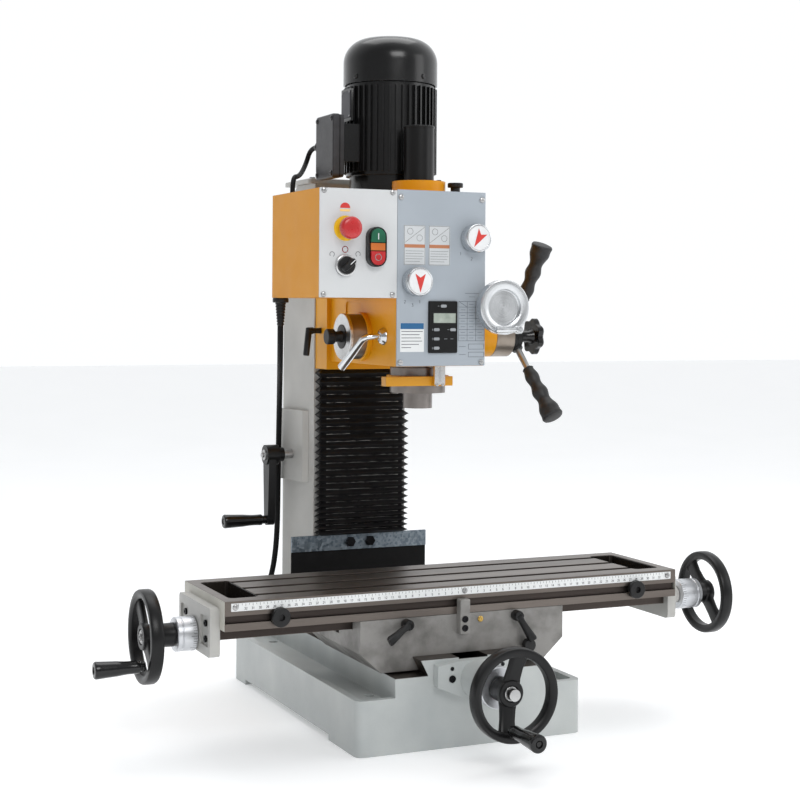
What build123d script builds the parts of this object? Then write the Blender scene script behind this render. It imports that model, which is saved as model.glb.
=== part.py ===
from build123d import *
import math
import os

# Benchtop milling machine, in millimetres.
# X runs along the table, Y runs from the operator towards the column, Z is up.
# The origin is the middle of the base's bolt pattern, on the bench.

os.makedirs("parts", exist_ok=True)

# ---------------------------------------------------------------- driving dimensions
RUNNING_GAP = 0.05  # radial clearance of a shaft in its bore
FACE_GAP = 0.1  # clearance between flat sliding faces

BASE_WIDTH = 345.0
BASE_DEPTH = 513.0
BASE_FRONT = -BASE_DEPTH / 2
RIM_Z = 75.5
GUTTER_Z = 66.0
RIM_WIDTH = 10.0
RAISED_WIDTH = 234.0
LEDGE_Z = 101.0
BENCH_BOLT_SPACING_X = 256.0
BENCH_BOLT_SPACING_Y = 386.0
BENCH_BOLT_HOLE_R = 7.0

CROSS_WAY_ROOT = 68.0  # half width of the base's dovetail where it meets the base
CROSS_WAY_TIP = 79.0
CROSS_WAY_TOP_Z = 122.5
CROSS_WAY_END_Y = 120.0
CROSS_SCREW_Z = 95.0

TABLE_LENGTH = 697.0
TABLE_WIDTH = 178.4
TABLE_Y = -140.0
TABLE_FRONT = TABLE_Y - TABLE_WIDTH / 2
TABLE_TOP_Z = 216.3
TABLE_FACE_Z = 177.0
LONG_SCREW_Z = 161.0
T_SLOT_SPACING = 52.0
T_SLOT_NECK = 12.0
T_SLOT_HEAD = 20.0
LONG_WAY_ROOT = 33.0  # half width of the saddle's dovetail where it meets the saddle
LONG_WAY_TIP = 40.0
LONG_WAY_TOP_Z = 175.8

SADDLE_WIDTH = 314.0
SADDLE_FRONT = -229.0
SADDLE_REAR = -25.0
SADDLE_BOTTOM_Z = 104.0
SADDLE_TOP_Z = 160.8
GIB_THICKNESS = 6.0
LOCK_KNOB_X = 96.0
LOCK_KNOB_Z = 127.0

COLUMN_FACE = 148.0
COLUMN_REAR = 255.0
COLUMN_HALF_FRONT = 79.0
COLUMN_HALF_REAR = 95.0
COLUMN_TOP_Z = 797.0
HEAD_WAY_ROOT = 55.0  # half width of the column's dovetail where it meets the column
HEAD_WAY_TIP = 62.0
HEAD_WAY_FACE = 136.0
HEAD_WAY_BOTTOM_Z = 245.0
HEAD_SCREW_Y = 205.0
CRANK_Z = 364.0

SPINDLE_Y = -70.0
HEAD_FRONT = -147.0
HEAD_REAR = COLUMN_FACE - FACE_GAP
HEAD_HALF_WIDTH = 70.0
HEAD_BOTTOM_Z = 517.0
HEAD_TOP_Z = 767.0
PANEL_FRONT = -149.7
GEARBOX_FLOOR_Z = 655.0
GEARBOX_ROOF_Z = 757.0
GEAR_MODULE = 2.0
MOTOR_Y = 36.0
CLUSTER_Y = -12.0
FEED_Y = -27.5
FEED_Z = 557.5
RACK_Y = -37.5
QUILL_R = 35.0
ROD_ANGLES = (112.2, 232.2, 352.2)  # measured from +Y towards +Z
FINE_FEED_X = 86.8
FINE_FEED_Z = 602.2
FOLD_PIVOT_X = 106.1
FOLD_PIVOT_Z = 569.7

UPPER_KNOB_X = 50.5
UPPER_KNOB_Z = 701.6
LOWER_KNOB_X = -42.3
LOWER_KNOB_Z = 637.7
ESTOP_X = -149.5
ESTOP_Z = 711.1
SELECTOR_X = -150.0
SELECTOR_Z = 659.3
BUTTON_X = -105.0
START_Z = 698.3
STOP_Z = 673.3
BUTTON_WIDTH = 20.0
BUTTON_HEIGHT = 19.0
BUTTON_FRAME_DEPTH = 12.0
MAINS_X = -179.0
MAINS_Y = 31.0

SCREW_R = 9.95
JOURNAL_R = 8.0
WHEEL_R = 62.5
RIM_THICKNESS = 12.0  # from the outside of a wheel inwards
RIM_LENGTH = 18.0  # along the wheel's axis
CORD_R = 4.5
MOTOR_CABLE_R = 3.75


# ---------------------------------------------------------------- shared helpers
def facing_front(x, y, z):
    """A plane whose normal points at the operator, with its own Y axis up."""
    return Plane(origin=(x, y, z), x_dir=(1, 0, 0), z_dir=(0, -1, 0))


def facing_right(x, y, z):
    """A plane whose normal points along +X, with its own X axis along Y and its Y axis up."""
    return Plane(origin=(x, y, z), x_dir=(0, 1, 0), z_dir=(1, 0, 0))


def facing_left(x, y, z):
    """A plane whose normal points along -X, with its own X axis along -Y and its Y axis up."""
    return Plane(origin=(x, y, z), x_dir=(0, -1, 0), z_dir=(-1, 0, 0))


def facing_up(x, y, z):
    """A level plane whose normal points up."""
    return Plane(origin=(x, y, z), x_dir=(1, 0, 0), z_dir=(0, 0, 1))


def keep(piece, name):
    """Label a finished piece and write its STEP file, named after its node."""
    piece.part.label = name
    export_step(piece.part, f"parts/{name}.step")


def disc(plane, radius, length, mode=Mode.ADD):
    """A round bar that starts on the plane and follows its normal."""
    with BuildSketch(plane) as outline:
        Circle(radius)
    extrude(outline.sketch, amount=length, mode=mode)


def block(plane, width, height, length, mode=Mode.ADD):
    """A rectangular bar that starts on the plane and follows its normal."""
    with BuildSketch(plane) as outline:
        Rectangle(width, height)
    extrude(outline.sketch, amount=length, mode=mode)


def prism(plane, corners, length, mode=Mode.ADD):
    """A straight-sided outline on the plane, extruded along its normal."""
    with BuildSketch(plane) as outline:
        with BuildLine():
            Polyline(*corners, close=True)
        make_face()
    extrude(outline.sketch, amount=length, mode=mode)


def rod(start, end, radius):
    """A round rod between two points."""
    way = Vector(*end) - Vector(*start)
    disc(Plane(origin=start, z_dir=way), radius, way.length)


def gear(plane, teeth, width, first_angle):
    """A spur gear with straight tapering teeth; one tooth stands at first_angle degrees."""
    pitch_r = GEAR_MODULE * teeth / 2
    root_r = pitch_r - 1.25 * GEAR_MODULE
    tip_r = pitch_r + 0.8 * GEAR_MODULE
    step = 360 / teeth
    with BuildSketch(plane) as outline:
        Circle(root_r)
        foot = (root_r - 1) * math.tan(math.radians(0.30 * step))
        tip = tip_r * math.tan(math.radians(0.10 * step))
        with PolarLocations(0, teeth, start_angle=first_angle):
            Polygon((root_r - 1, -foot), (tip_r, -tip), (tip_r, tip), (root_r - 1, foot), align=None)
    extrude(outline.sketch, amount=width)


# ---------------------------------------------------------------- base and its fittings
def make_base():
    bolt_boss_r = 18.0
    underside_roof_z = 54.0
    pocket_width = 96.0
    pocket_depth = 90.0
    relief_height = 8.0
    trough_width = 44.0
    with BuildPart() as base:
        with BuildSketch(Plane.XY):
            RectangleRounded(BASE_WIDTH, BASE_DEPTH, 12)
        extrude(amount=RIM_Z)
        with BuildSketch(facing_up(0, 0, GUTTER_Z)):
            RectangleRounded(BASE_WIDTH - 2 * RIM_WIDTH, BASE_DEPTH - 2 * RIM_WIDTH, 6)
        extrude(amount=RIM_Z - GUTTER_Z, mode=Mode.SUBTRACT)
        # underside pockets between stiffening ribs, with bosses for the bench bolts
        with BuildSketch(Plane.XY):
            with GridLocations(108, 98, 3, 5):
                RectangleRounded(pocket_width, pocket_depth, 8)
        extrude(amount=underside_roof_z, mode=Mode.SUBTRACT)
        # the relief under both long sides
        relief_plane = facing_right(-BASE_WIDTH / 2, 22.5, relief_height / 2)
        block(relief_plane, 355, relief_height, BASE_WIDTH, Mode.SUBTRACT)
        with BuildSketch(Plane.XY):
            with GridLocations(BENCH_BOLT_SPACING_X, BENCH_BOLT_SPACING_Y, 2, 2):
                Circle(bolt_boss_r)
        extrude(amount=GUTTER_Z)
        with BuildSketch(Plane.XY):
            with GridLocations(BENCH_BOLT_SPACING_X, BENCH_BOLT_SPACING_Y, 2, 2):
                Circle(BENCH_BOLT_HOLE_R)
        extrude(amount=GUTTER_Z, mode=Mode.SUBTRACT)
        # raised middle and the cross dovetail
        with BuildSketch(facing_up(0, 0, underside_roof_z)):
            Rectangle(RAISED_WIDTH, BASE_DEPTH)
        extrude(amount=LEDGE_Z - underside_roof_z)
        prism(
            facing_front(0, CROSS_WAY_END_Y, 0),
            [
                (-CROSS_WAY_ROOT, LEDGE_Z),
                (-CROSS_WAY_TIP, CROSS_WAY_TOP_Z),
                (CROSS_WAY_TIP, CROSS_WAY_TOP_Z),
                (CROSS_WAY_ROOT, LEDGE_Z),
            ],
            CROSS_WAY_END_Y - BASE_FRONT,
        )
        # trough for the cross screw and its nut
        block(facing_front(0, 60, 102), trough_width, 44, 60 - BASE_FRONT, Mode.SUBTRACT)
    keep(base, "base_casting")


def make_column():
    wall_back_y = 240.0
    shelf_z = 300.0
    with BuildPart() as column:
        with BuildSketch(facing_up(0, 0, LEDGE_Z)):
            with BuildLine():
                Polyline(
                    (-COLUMN_HALF_FRONT, COLUMN_FACE),
                    (COLUMN_HALF_FRONT, COLUMN_FACE),
                    (COLUMN_HALF_REAR, COLUMN_REAR),
                    (-COLUMN_HALF_REAR, COLUMN_REAR),
                    close=True,
                )
            make_face()
        extrude(amount=COLUMN_TOP_Z - LEDGE_Z)
        fillet(column.edges().filter_by(Axis.Z).group_by(Axis.Y)[-1], 8)
        # the back of the top is cut off at a slant
        prism(
            facing_right(-100, 0, 0),
            [(COLUMN_REAR - 50, COLUMN_TOP_Z), (COLUMN_REAR, COLUMN_TOP_Z - 55), (COLUMN_REAR, COLUMN_TOP_Z)],
            200,
            Mode.SUBTRACT,
        )
        # foot flange
        with BuildSketch(facing_up(0, 200, LEDGE_Z)):
            RectangleRounded(224, 112, 8)
        extrude(amount=24)
        # upper chamber for the lifting screw, lower chamber open at the back
        block(facing_up(0, (166 + wall_back_y) / 2, shelf_z + 16), 96, wall_back_y - 166, 414, Mode.SUBTRACT)
        block(facing_up(0, (166 + wall_back_y) / 2, 125), 96, wall_back_y - 166, shelf_z - 125, Mode.SUBTRACT)
        block(facing_front(0, 260, 205), 70, 130, 40, Mode.SUBTRACT)
        # dovetail for the head, with the long slot its nut travels in
        prism(
            facing_up(0, 0, HEAD_WAY_BOTTOM_Z),
            [
                (-HEAD_WAY_ROOT, COLUMN_FACE),
                (-HEAD_WAY_TIP, HEAD_WAY_FACE),
                (HEAD_WAY_TIP, HEAD_WAY_FACE),
                (HEAD_WAY_ROOT, COLUMN_FACE),
            ],
            COLUMN_TOP_Z - HEAD_WAY_BOTTOM_Z,
        )
        block(facing_front(0, 170, 515), 44, 250, 40, Mode.SUBTRACT)
        # journals of the lifting screw and the passage of the crank shaft
        disc(facing_up(0, HEAD_SCREW_Y, shelf_z), JOURNAL_R + RUNNING_GAP, 16, Mode.SUBTRACT)
        disc(facing_up(0, HEAD_SCREW_Y, 730), JOURNAL_R + RUNNING_GAP, 45, Mode.SUBTRACT)
        disc(facing_left(-40, HEAD_SCREW_Y, CRANK_Z), 9, 60, Mode.SUBTRACT)
    keep(column, "column_casting")


def make_cross_feed_bracket():
    with BuildPart() as bracket:
        plate_outline = [
            (-60, 87), (-27, 72.5), (27, 72.5), (60, 87), (60, 116), (26, 120.5), (-26, 120.5), (-60, 116),
        ]
        prism(facing_front(0, BASE_FRONT, 0), plate_outline, 14)
        disc(facing_front(0, -270.5, CROSS_SCREW_Z), 26, 39.5)
        disc(facing_front(0, BASE_FRONT, CROSS_SCREW_Z), JOURNAL_R + RUNNING_GAP, 54, Mode.SUBTRACT)
        fillet(bracket.faces().sort_by(Axis.Y)[0].outer_wire().edges(), 2)
    keep(bracket, "cross_feed_bracket")


def side_of_column(y):
    """X of the column's slanted left side at a given Y."""
    lean = (COLUMN_HALF_REAR - COLUMN_HALF_FRONT) / (COLUMN_REAR - COLUMN_FACE)
    return -(COLUMN_HALF_FRONT + lean * (y - COLUMN_FACE))


def make_crank_bracket():
    thickness = 7.5
    with BuildPart() as bracket:
        prism(
            facing_up(0, 0, 322),
            [
                (side_of_column(164), 164),
                (side_of_column(170) - thickness, 170),
                (side_of_column(242) - thickness, 242),
                (side_of_column(242), 242),
            ],
            114,
        )
        disc(facing_left(-80, HEAD_SCREW_Y, CRANK_Z), 7 + RUNNING_GAP, 20, Mode.SUBTRACT)
    keep(bracket, "z_crank_bracket")


def make_way_cover():
    with BuildPart() as strip:
        block(facing_front(0, 146, 226.8), 232.6, 24.6, 2)
        with BuildSketch(facing_front(0, 144, 227)):
            with Locations((-17, 0), (17, 0)):
                RegularPolygon(7.5, 6)
        extrude(amount=5)
    keep(strip, "way_cover_strip")
    with BuildPart() as sheet:
        block(facing_front(0, COLUMN_FACE, 183), 232.6, 112, 2)
    keep(sheet, "way_cover_sheet")


def make_bellows():
    folds = 26
    bottom_z = 239.5
    top_z = 503.5
    pitch = (top_z - bottom_z) / folds
    fold_depth = 4.0
    front_y = 127.7
    side_x = 77.8
    front_zigzag = [(147.2, bottom_z), (front_y + fold_depth, bottom_z)]
    side_zigzag = [(side_x - fold_depth, bottom_z)]
    for fold in range(folds):
        crest_z = bottom_z + (fold + 0.5) * pitch
        front_zigzag += [(front_y, crest_z), (front_y + fold_depth, crest_z + pitch / 2)]
        side_zigzag += [(side_x, crest_z), (side_x - fold_depth, crest_z + pitch / 2)]
    front_zigzag.append((147.2, top_z))
    other_side = [(-x, z) for x, z in reversed(side_zigzag)]
    with BuildPart() as bellows:
        prism(facing_right(-side_x, 0, 0), front_zigzag, 2 * side_x)
        prism(facing_front(0, 150, 0), side_zigzag + other_side, 30, Mode.INTERSECT)
        block(facing_front(0, 150, (bottom_z + top_z) / 2), 128, top_z - bottom_z, 14.5, Mode.SUBTRACT)
    keep(bellows, "bellows")


# ---------------------------------------------------------------- saddle
def make_saddle():
    half = SADDLE_WIDTH / 2
    gap = FACE_GAP
    way_under_z = CROSS_WAY_TOP_Z + gap
    lean = (CROSS_WAY_TIP - CROSS_WAY_ROOT) / (CROSS_WAY_TOP_Z - LEDGE_Z)
    way_at_bottom = CROSS_WAY_ROOT + lean * (SADDLE_BOTTOM_Z - LEDGE_Z)
    with BuildPart() as saddle:
        prism(
            facing_front(0, SADDLE_REAR, 0),
            [
                (-half, SADDLE_TOP_Z),
                (-half, 132),
                (-126, SADDLE_BOTTOM_Z),
                (-way_at_bottom - gap, SADDLE_BOTTOM_Z),
                (-CROSS_WAY_TIP - gap, way_under_z),
                (CROSS_WAY_TIP + GIB_THICKNESS + 2 * gap, way_under_z),
                (way_at_bottom + GIB_THICKNESS + 2 * gap, SADDLE_BOTTOM_Z),
                (126, SADDLE_BOTTOM_Z),
                (half, 132),
                (half, SADDLE_TOP_Z),
            ],
            SADDLE_REAR - SADDLE_FRONT,
        )
        # apron in front of the table's rails
        block(facing_front(0, -202, (SADDLE_TOP_Z + 176.5) / 2), SADDLE_WIDTH, 176.5 - SADDLE_TOP_Z, 27)
        # long dovetail; the gib lies along its front
        prism(
            facing_right(-half, TABLE_Y, 0),
            [
                (-LONG_WAY_ROOT + GIB_THICKNESS, SADDLE_TOP_Z),
                (-LONG_WAY_TIP + GIB_THICKNESS, LONG_WAY_TOP_Z),
                (LONG_WAY_TIP, LONG_WAY_TOP_Z),
                (LONG_WAY_ROOT, SADDLE_TOP_Z),
            ],
            SADDLE_WIDTH,
        )
        # trough for the long screw on both sides of its nut
        with BuildSketch(facing_up(0, TABLE_Y, 147)):
            with Locations((-90, 0), (90, 0)):
                Rectangle(140, 26)
        extrude(amount=30, mode=Mode.SUBTRACT)
        disc(facing_right(-half, TABLE_Y, LONG_SCREW_Z), SCREW_R + 0.1, SADDLE_WIDTH, Mode.SUBTRACT)
        # nut of the cross screw hangs into the base's trough
        block(facing_front(0, -115, 103.5), 40, 41, 35)
        disc(facing_front(0, -115, CROSS_SCREW_Z), SCREW_R + 0.1, 35, Mode.SUBTRACT)
        # seats of the two lock levers and the lock knob
        with BuildSketch(facing_front(0, SADDLE_FRONT, 0)):
            with Locations((-89.7, 168.4), (80.2, 168.6), (LOCK_KNOB_X, LOCK_KNOB_Z)):
                Circle(4 + RUNNING_GAP)
        extrude(amount=-22, mode=Mode.SUBTRACT)
    keep(saddle, "saddle_casting")

    with BuildPart() as gibs:
        prism(
            facing_front(0, SADDLE_REAR - 2, 0),
            [
                (way_at_bottom + gap, SADDLE_BOTTOM_Z),
                (CROSS_WAY_TIP + gap, CROSS_WAY_TOP_Z),
                (CROSS_WAY_TIP + gap + GIB_THICKNESS, CROSS_WAY_TOP_Z),
                (way_at_bottom + gap + GIB_THICKNESS, SADDLE_BOTTOM_Z),
            ],
            SADDLE_REAR - SADDLE_FRONT - 4,
        )
        prism(
            facing_right(-155, TABLE_Y, 0),
            [
                (-LONG_WAY_ROOT, SADDLE_TOP_Z),
                (-LONG_WAY_TIP, LONG_WAY_TOP_Z),
                (-LONG_WAY_TIP + GIB_THICKNESS, LONG_WAY_TOP_Z),
                (-LONG_WAY_ROOT + GIB_THICKNESS, SADDLE_TOP_Z),
            ],
            310,
        )
    keep(gibs, "slide_gibs")


def make_lock_lever(name, root_x, root_z, tip_x, tip_z):
    stud_y = SADDLE_FRONT
    with BuildPart() as lever:
        disc(facing_front(root_x, stud_y + 18, root_z), 4, 18)
        disc(facing_front(root_x, stud_y - 0.3, root_z), 7, 14)
        disc(facing_front(root_x, stud_y + 1, root_z), 4, 2)
        rod((root_x, stud_y - 9, root_z), (tip_x, stud_y - 29, tip_z), 4.5)
        rod((tip_x, stud_y - 24, tip_z), (tip_x, stud_y - 34, tip_z), 6)
    keep(lever, name)


def make_saddle_lock_knob():
    with BuildPart() as knob:
        disc(facing_front(LOCK_KNOB_X, SADDLE_FRONT + 18, LOCK_KNOB_Z), 4, 24)
        disc(facing_front(LOCK_KNOB_X, SADDLE_FRONT - 5, LOCK_KNOB_Z), 9, 12)
        fillet(knob.faces().sort_by(Axis.Y)[0].edges(), 2)
    keep(knob, "saddle_lock_knob")


# ---------------------------------------------------------------- table
def make_table():
    half = TABLE_LENGTH / 2
    gap = FACE_GAP
    with BuildPart() as table:
        block(facing_up(0, TABLE_Y, TABLE_FACE_Z), TABLE_LENGTH, TABLE_WIDTH, TABLE_TOP_Z - TABLE_FACE_Z)
        block(facing_up(0, TABLE_Y, SADDLE_TOP_Z + gap), TABLE_LENGTH, 118, 17)
        prism(
            facing_right(-half, TABLE_Y, 0),
            [
                (-LONG_WAY_ROOT - gap, SADDLE_TOP_Z),
                (-LONG_WAY_TIP - gap, LONG_WAY_TOP_Z + gap),
                (LONG_WAY_TIP + gap, LONG_WAY_TOP_Z + gap),
                (LONG_WAY_ROOT + gap, SADDLE_TOP_Z),
            ],
            TABLE_LENGTH,
            Mode.SUBTRACT,
        )
        # three T-slots that end in the coolant pockets
        slot_length = 2 * 300
        with BuildSketch(facing_up(0, TABLE_Y, 206.3)):
            with GridLocations(1, T_SLOT_SPACING, 1, 3):
                Rectangle(slot_length, T_SLOT_NECK)
        extrude(amount=10, mode=Mode.SUBTRACT)
        with BuildSketch(facing_up(0, TABLE_Y, 198.3)):
            with GridLocations(1, T_SLOT_SPACING, 1, 3):
                Rectangle(slot_length, T_SLOT_HEAD)
        extrude(amount=8, mode=Mode.SUBTRACT)
        with BuildSketch(facing_up(0, TABLE_Y, 186)):
            with GridLocations(2 * 314, 1, 2, 1):
                RectangleRounded(42, 133, 8)
        extrude(amount=31, mode=Mode.SUBTRACT)
        # groove for the travel stops along the front
        block(facing_front(0, TABLE_FRONT + 5, 192), TABLE_LENGTH, 10, 5, Mode.SUBTRACT)
        block(facing_front(0, TABLE_FRONT + 12, 192), TABLE_LENGTH, 16, 7, Mode.SUBTRACT)
    keep(table, "table_casting")

    with BuildPart() as brackets:
        for side in (-1, 1):
            outside = facing_left if side < 0 else facing_right
            with BuildSketch(outside(side * half, TABLE_Y, 172.5)):
                RectangleRounded(140, 65, 6)
            extrude(amount=14)
            # two shallow panels beside the bearing boss
            with BuildSketch(outside(side * (half + 14), TABLE_Y, 172.5)):
                with Locations((-45, 0), (45, 0)):
                    RectangleRounded(34, 40, 4)
            extrude(amount=-3, mode=Mode.SUBTRACT)
        disc(facing_right(half + 14, TABLE_Y, LONG_SCREW_Z), 13, 46)
        disc(facing_right(-half - 15, TABLE_Y, LONG_SCREW_Z), JOURNAL_R + RUNNING_GAP, 2 * half + 80, Mode.SUBTRACT)
    keep(brackets, "table_brackets")


# ---------------------------------------------------------------- feed screws, wheels, dials and grips
def handwheel(plane, hub_r, hub_back, hub_front):
    """A two-spoke rim wheel centred on the plane; the hub runs from hub_back to hub_front along the normal."""
    spoke_width = 24.0
    spoke_thick = 9.0
    with BuildSketch(plane.offset(-RIM_LENGTH / 2)) as rim:
        Circle(WHEEL_R)
        Circle(WHEEL_R - RIM_THICKNESS, mode=Mode.SUBTRACT)
    extrude(rim.sketch, amount=RIM_LENGTH)
    # both spokes slope from the front of the hub to the middle of the rim
    reach = WHEEL_R - RIM_THICKNESS / 2
    prism(
        Plane(origin=plane.origin - plane.x_dir * spoke_width / 2, x_dir=plane.z_dir, z_dir=plane.x_dir),
        [
            (hub_front - spoke_thick, 0),
            (-spoke_thick / 2, reach),
            (spoke_thick / 2, reach),
            (hub_front, 0),
            (spoke_thick / 2, -reach),
            (-spoke_thick / 2, -reach),
        ],
        spoke_width,
    )
    disc(plane.offset(hub_back), hub_r, hub_front - hub_back)
    disc(plane.offset(hub_back - 1), JOURNAL_R, 60, Mode.SUBTRACT)


def wheel_grip(plane, length):
    """A turned grip on a stem; the plane is the face of the wheel and the grip follows its normal."""
    with BuildSketch(Plane(origin=plane.origin, x_dir=plane.z_dir, z_dir=plane.x_dir)) as profile:
        with BuildLine():
            Polyline((-12, 0), (-12, 4), (1, 4), (1, 8), (4, 9))
            Spline((4, 9), (length * 0.45, 8), (length * 0.8, 11.5), (length, 0), tangents=((1, 0), (0, -1)))
            Line((length, 0), (-12, 0))
        make_face()
    revolve(profile.sketch, axis=Axis(plane.origin, plane.z_dir))


def make_cross_feed():
    wheel_y = -374.4
    grip_x = -7.5
    grip_z = CROSS_SCREW_Z - 43.5
    with BuildPart() as screw:
        disc(facing_front(0, 55, CROSS_SCREW_Z), SCREW_R, 310)
        disc(facing_front(0, -255, CROSS_SCREW_Z), JOURNAL_R, 123)
    keep(screw, "y_leadscrew")
    with BuildPart() as dial:
        disc(facing_front(0, -312, CROSS_SCREW_Z), 28, 22)
        disc(facing_front(0, -312, CROSS_SCREW_Z), JOURNAL_R, 22, Mode.SUBTRACT)
        chamfer(dial.faces().sort_by(Axis.Y)[0].outer_wire().edges(), 2)
    keep(dial, "y_dial")
    with BuildPart() as wheel:
        handwheel(facing_front(0, wheel_y, CROSS_SCREW_Z), 17, -38.4, -9.9)
        disc(facing_front(grip_x, wheel_y + 14, grip_z), 4 + RUNNING_GAP, 28, Mode.SUBTRACT)
    keep(wheel, "y_handwheel")
    with BuildPart() as grip:
        wheel_grip(facing_front(grip_x, wheel_y - RIM_LENGTH / 2, grip_z), 72.6)
    keep(grip, "y_wheel_grip")


def make_long_feed():
    left_wheel_x = -429.0
    right_wheel_x = 464.0
    grip_turn = math.radians(228)
    grip_y = TABLE_Y + 44 * math.cos(grip_turn)
    grip_z = LONG_SCREW_Z + 44 * math.sin(grip_turn)
    with BuildPart() as screw:
        disc(facing_right(-345, TABLE_Y, LONG_SCREW_Z), SCREW_R, 690)
        disc(facing_right(-436, TABLE_Y, LONG_SCREW_Z), JOURNAL_R, 91)
        disc(facing_right(345, TABLE_Y, LONG_SCREW_Z), JOURNAL_R, 128)
    keep(screw, "x_leadscrew")
    with BuildPart() as dials:
        disc(facing_left(-362.8, TABLE_Y, LONG_SCREW_Z), 23.2, 28)
        disc(facing_right(409, TABLE_Y, LONG_SCREW_Z), 22.5, 36)
        disc(facing_right(-400, TABLE_Y, LONG_SCREW_Z), JOURNAL_R, 900, Mode.SUBTRACT)
    keep(dials, "x_dials")
    with BuildPart() as wheels:
        # the left wheel's spokes are turned to the grip
        spoke_turn = math.radians(42)
        left_plane = Plane(
            origin=(left_wheel_x, TABLE_Y, LONG_SCREW_Z),
            x_dir=(0, -math.cos(spoke_turn), math.sin(spoke_turn)),
            z_dir=(-1, 0, 0),
        )
        handwheel(left_plane, 16, -37, 7)
        handwheel(facing_right(right_wheel_x, TABLE_Y, LONG_SCREW_Z), 16, -18, 9)
        disc(facing_left(left_wheel_x + 14, grip_y, grip_z), 4 + RUNNING_GAP, 28, Mode.SUBTRACT)
    keep(wheels, "x_handwheels")
    with BuildPart() as grip:
        wheel_grip(facing_left(left_wheel_x - RIM_LENGTH / 2, grip_y, grip_z), 68)
    keep(grip, "x_wheel_grip")


def make_head_feed():
    arm_r = 103.5
    with BuildPart() as screw:
        disc(facing_up(0, HEAD_SCREW_Y, 301), JOURNAL_R, 472)
        disc(facing_up(0, HEAD_SCREW_Y, 390), 11, 338)
        disc(facing_up(0, HEAD_SCREW_Y, 318), 13, 22)
        with BuildSketch(facing_up(0, HEAD_SCREW_Y, 340)):
            Circle(21.6)
        with BuildSketch(facing_up(0, HEAD_SCREW_Y, 350)):
            Circle(11.6)
        loft()
    keep(screw, "z_leadscrew")
    with BuildPart() as shaft:
        disc(facing_left(-14, HEAD_SCREW_Y, CRANK_Z), 7, 127)
        with BuildSketch(facing_left(-24.4, HEAD_SCREW_Y, CRANK_Z)):
            Circle(21.6)
        with BuildSketch(facing_left(-14.4, HEAD_SCREW_Y, CRANK_Z)):
            Circle(11.6)
        loft()
    keep(shaft, "z_crank_shaft")
    with BuildPart() as crank:
        disc(facing_left(-110, HEAD_SCREW_Y, CRANK_Z), 11, 9.5)
        disc(facing_left(-119.5, HEAD_SCREW_Y, CRANK_Z), 16, 21)
        prism(
            facing_left(-126, HEAD_SCREW_Y, CRANK_Z),
            [(-15, 0), (-9, -arm_r), (9, -arm_r), (15, 0)],
            12,
        )
        disc(facing_left(-126, HEAD_SCREW_Y, CRANK_Z - arm_r), 9, 12)
        disc(facing_left(-110, HEAD_SCREW_Y, CRANK_Z), 7, 31, Mode.SUBTRACT)
        disc(facing_left(-120, HEAD_SCREW_Y, CRANK_Z - arm_r), 4 + RUNNING_GAP, 20, Mode.SUBTRACT)
    keep(crank, "z_crank")
    with BuildPart() as grip:
        wheel_grip(facing_left(-138, HEAD_SCREW_Y, CRANK_Z - arm_r), 72)
    keep(grip, "z_crank_grip")


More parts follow.
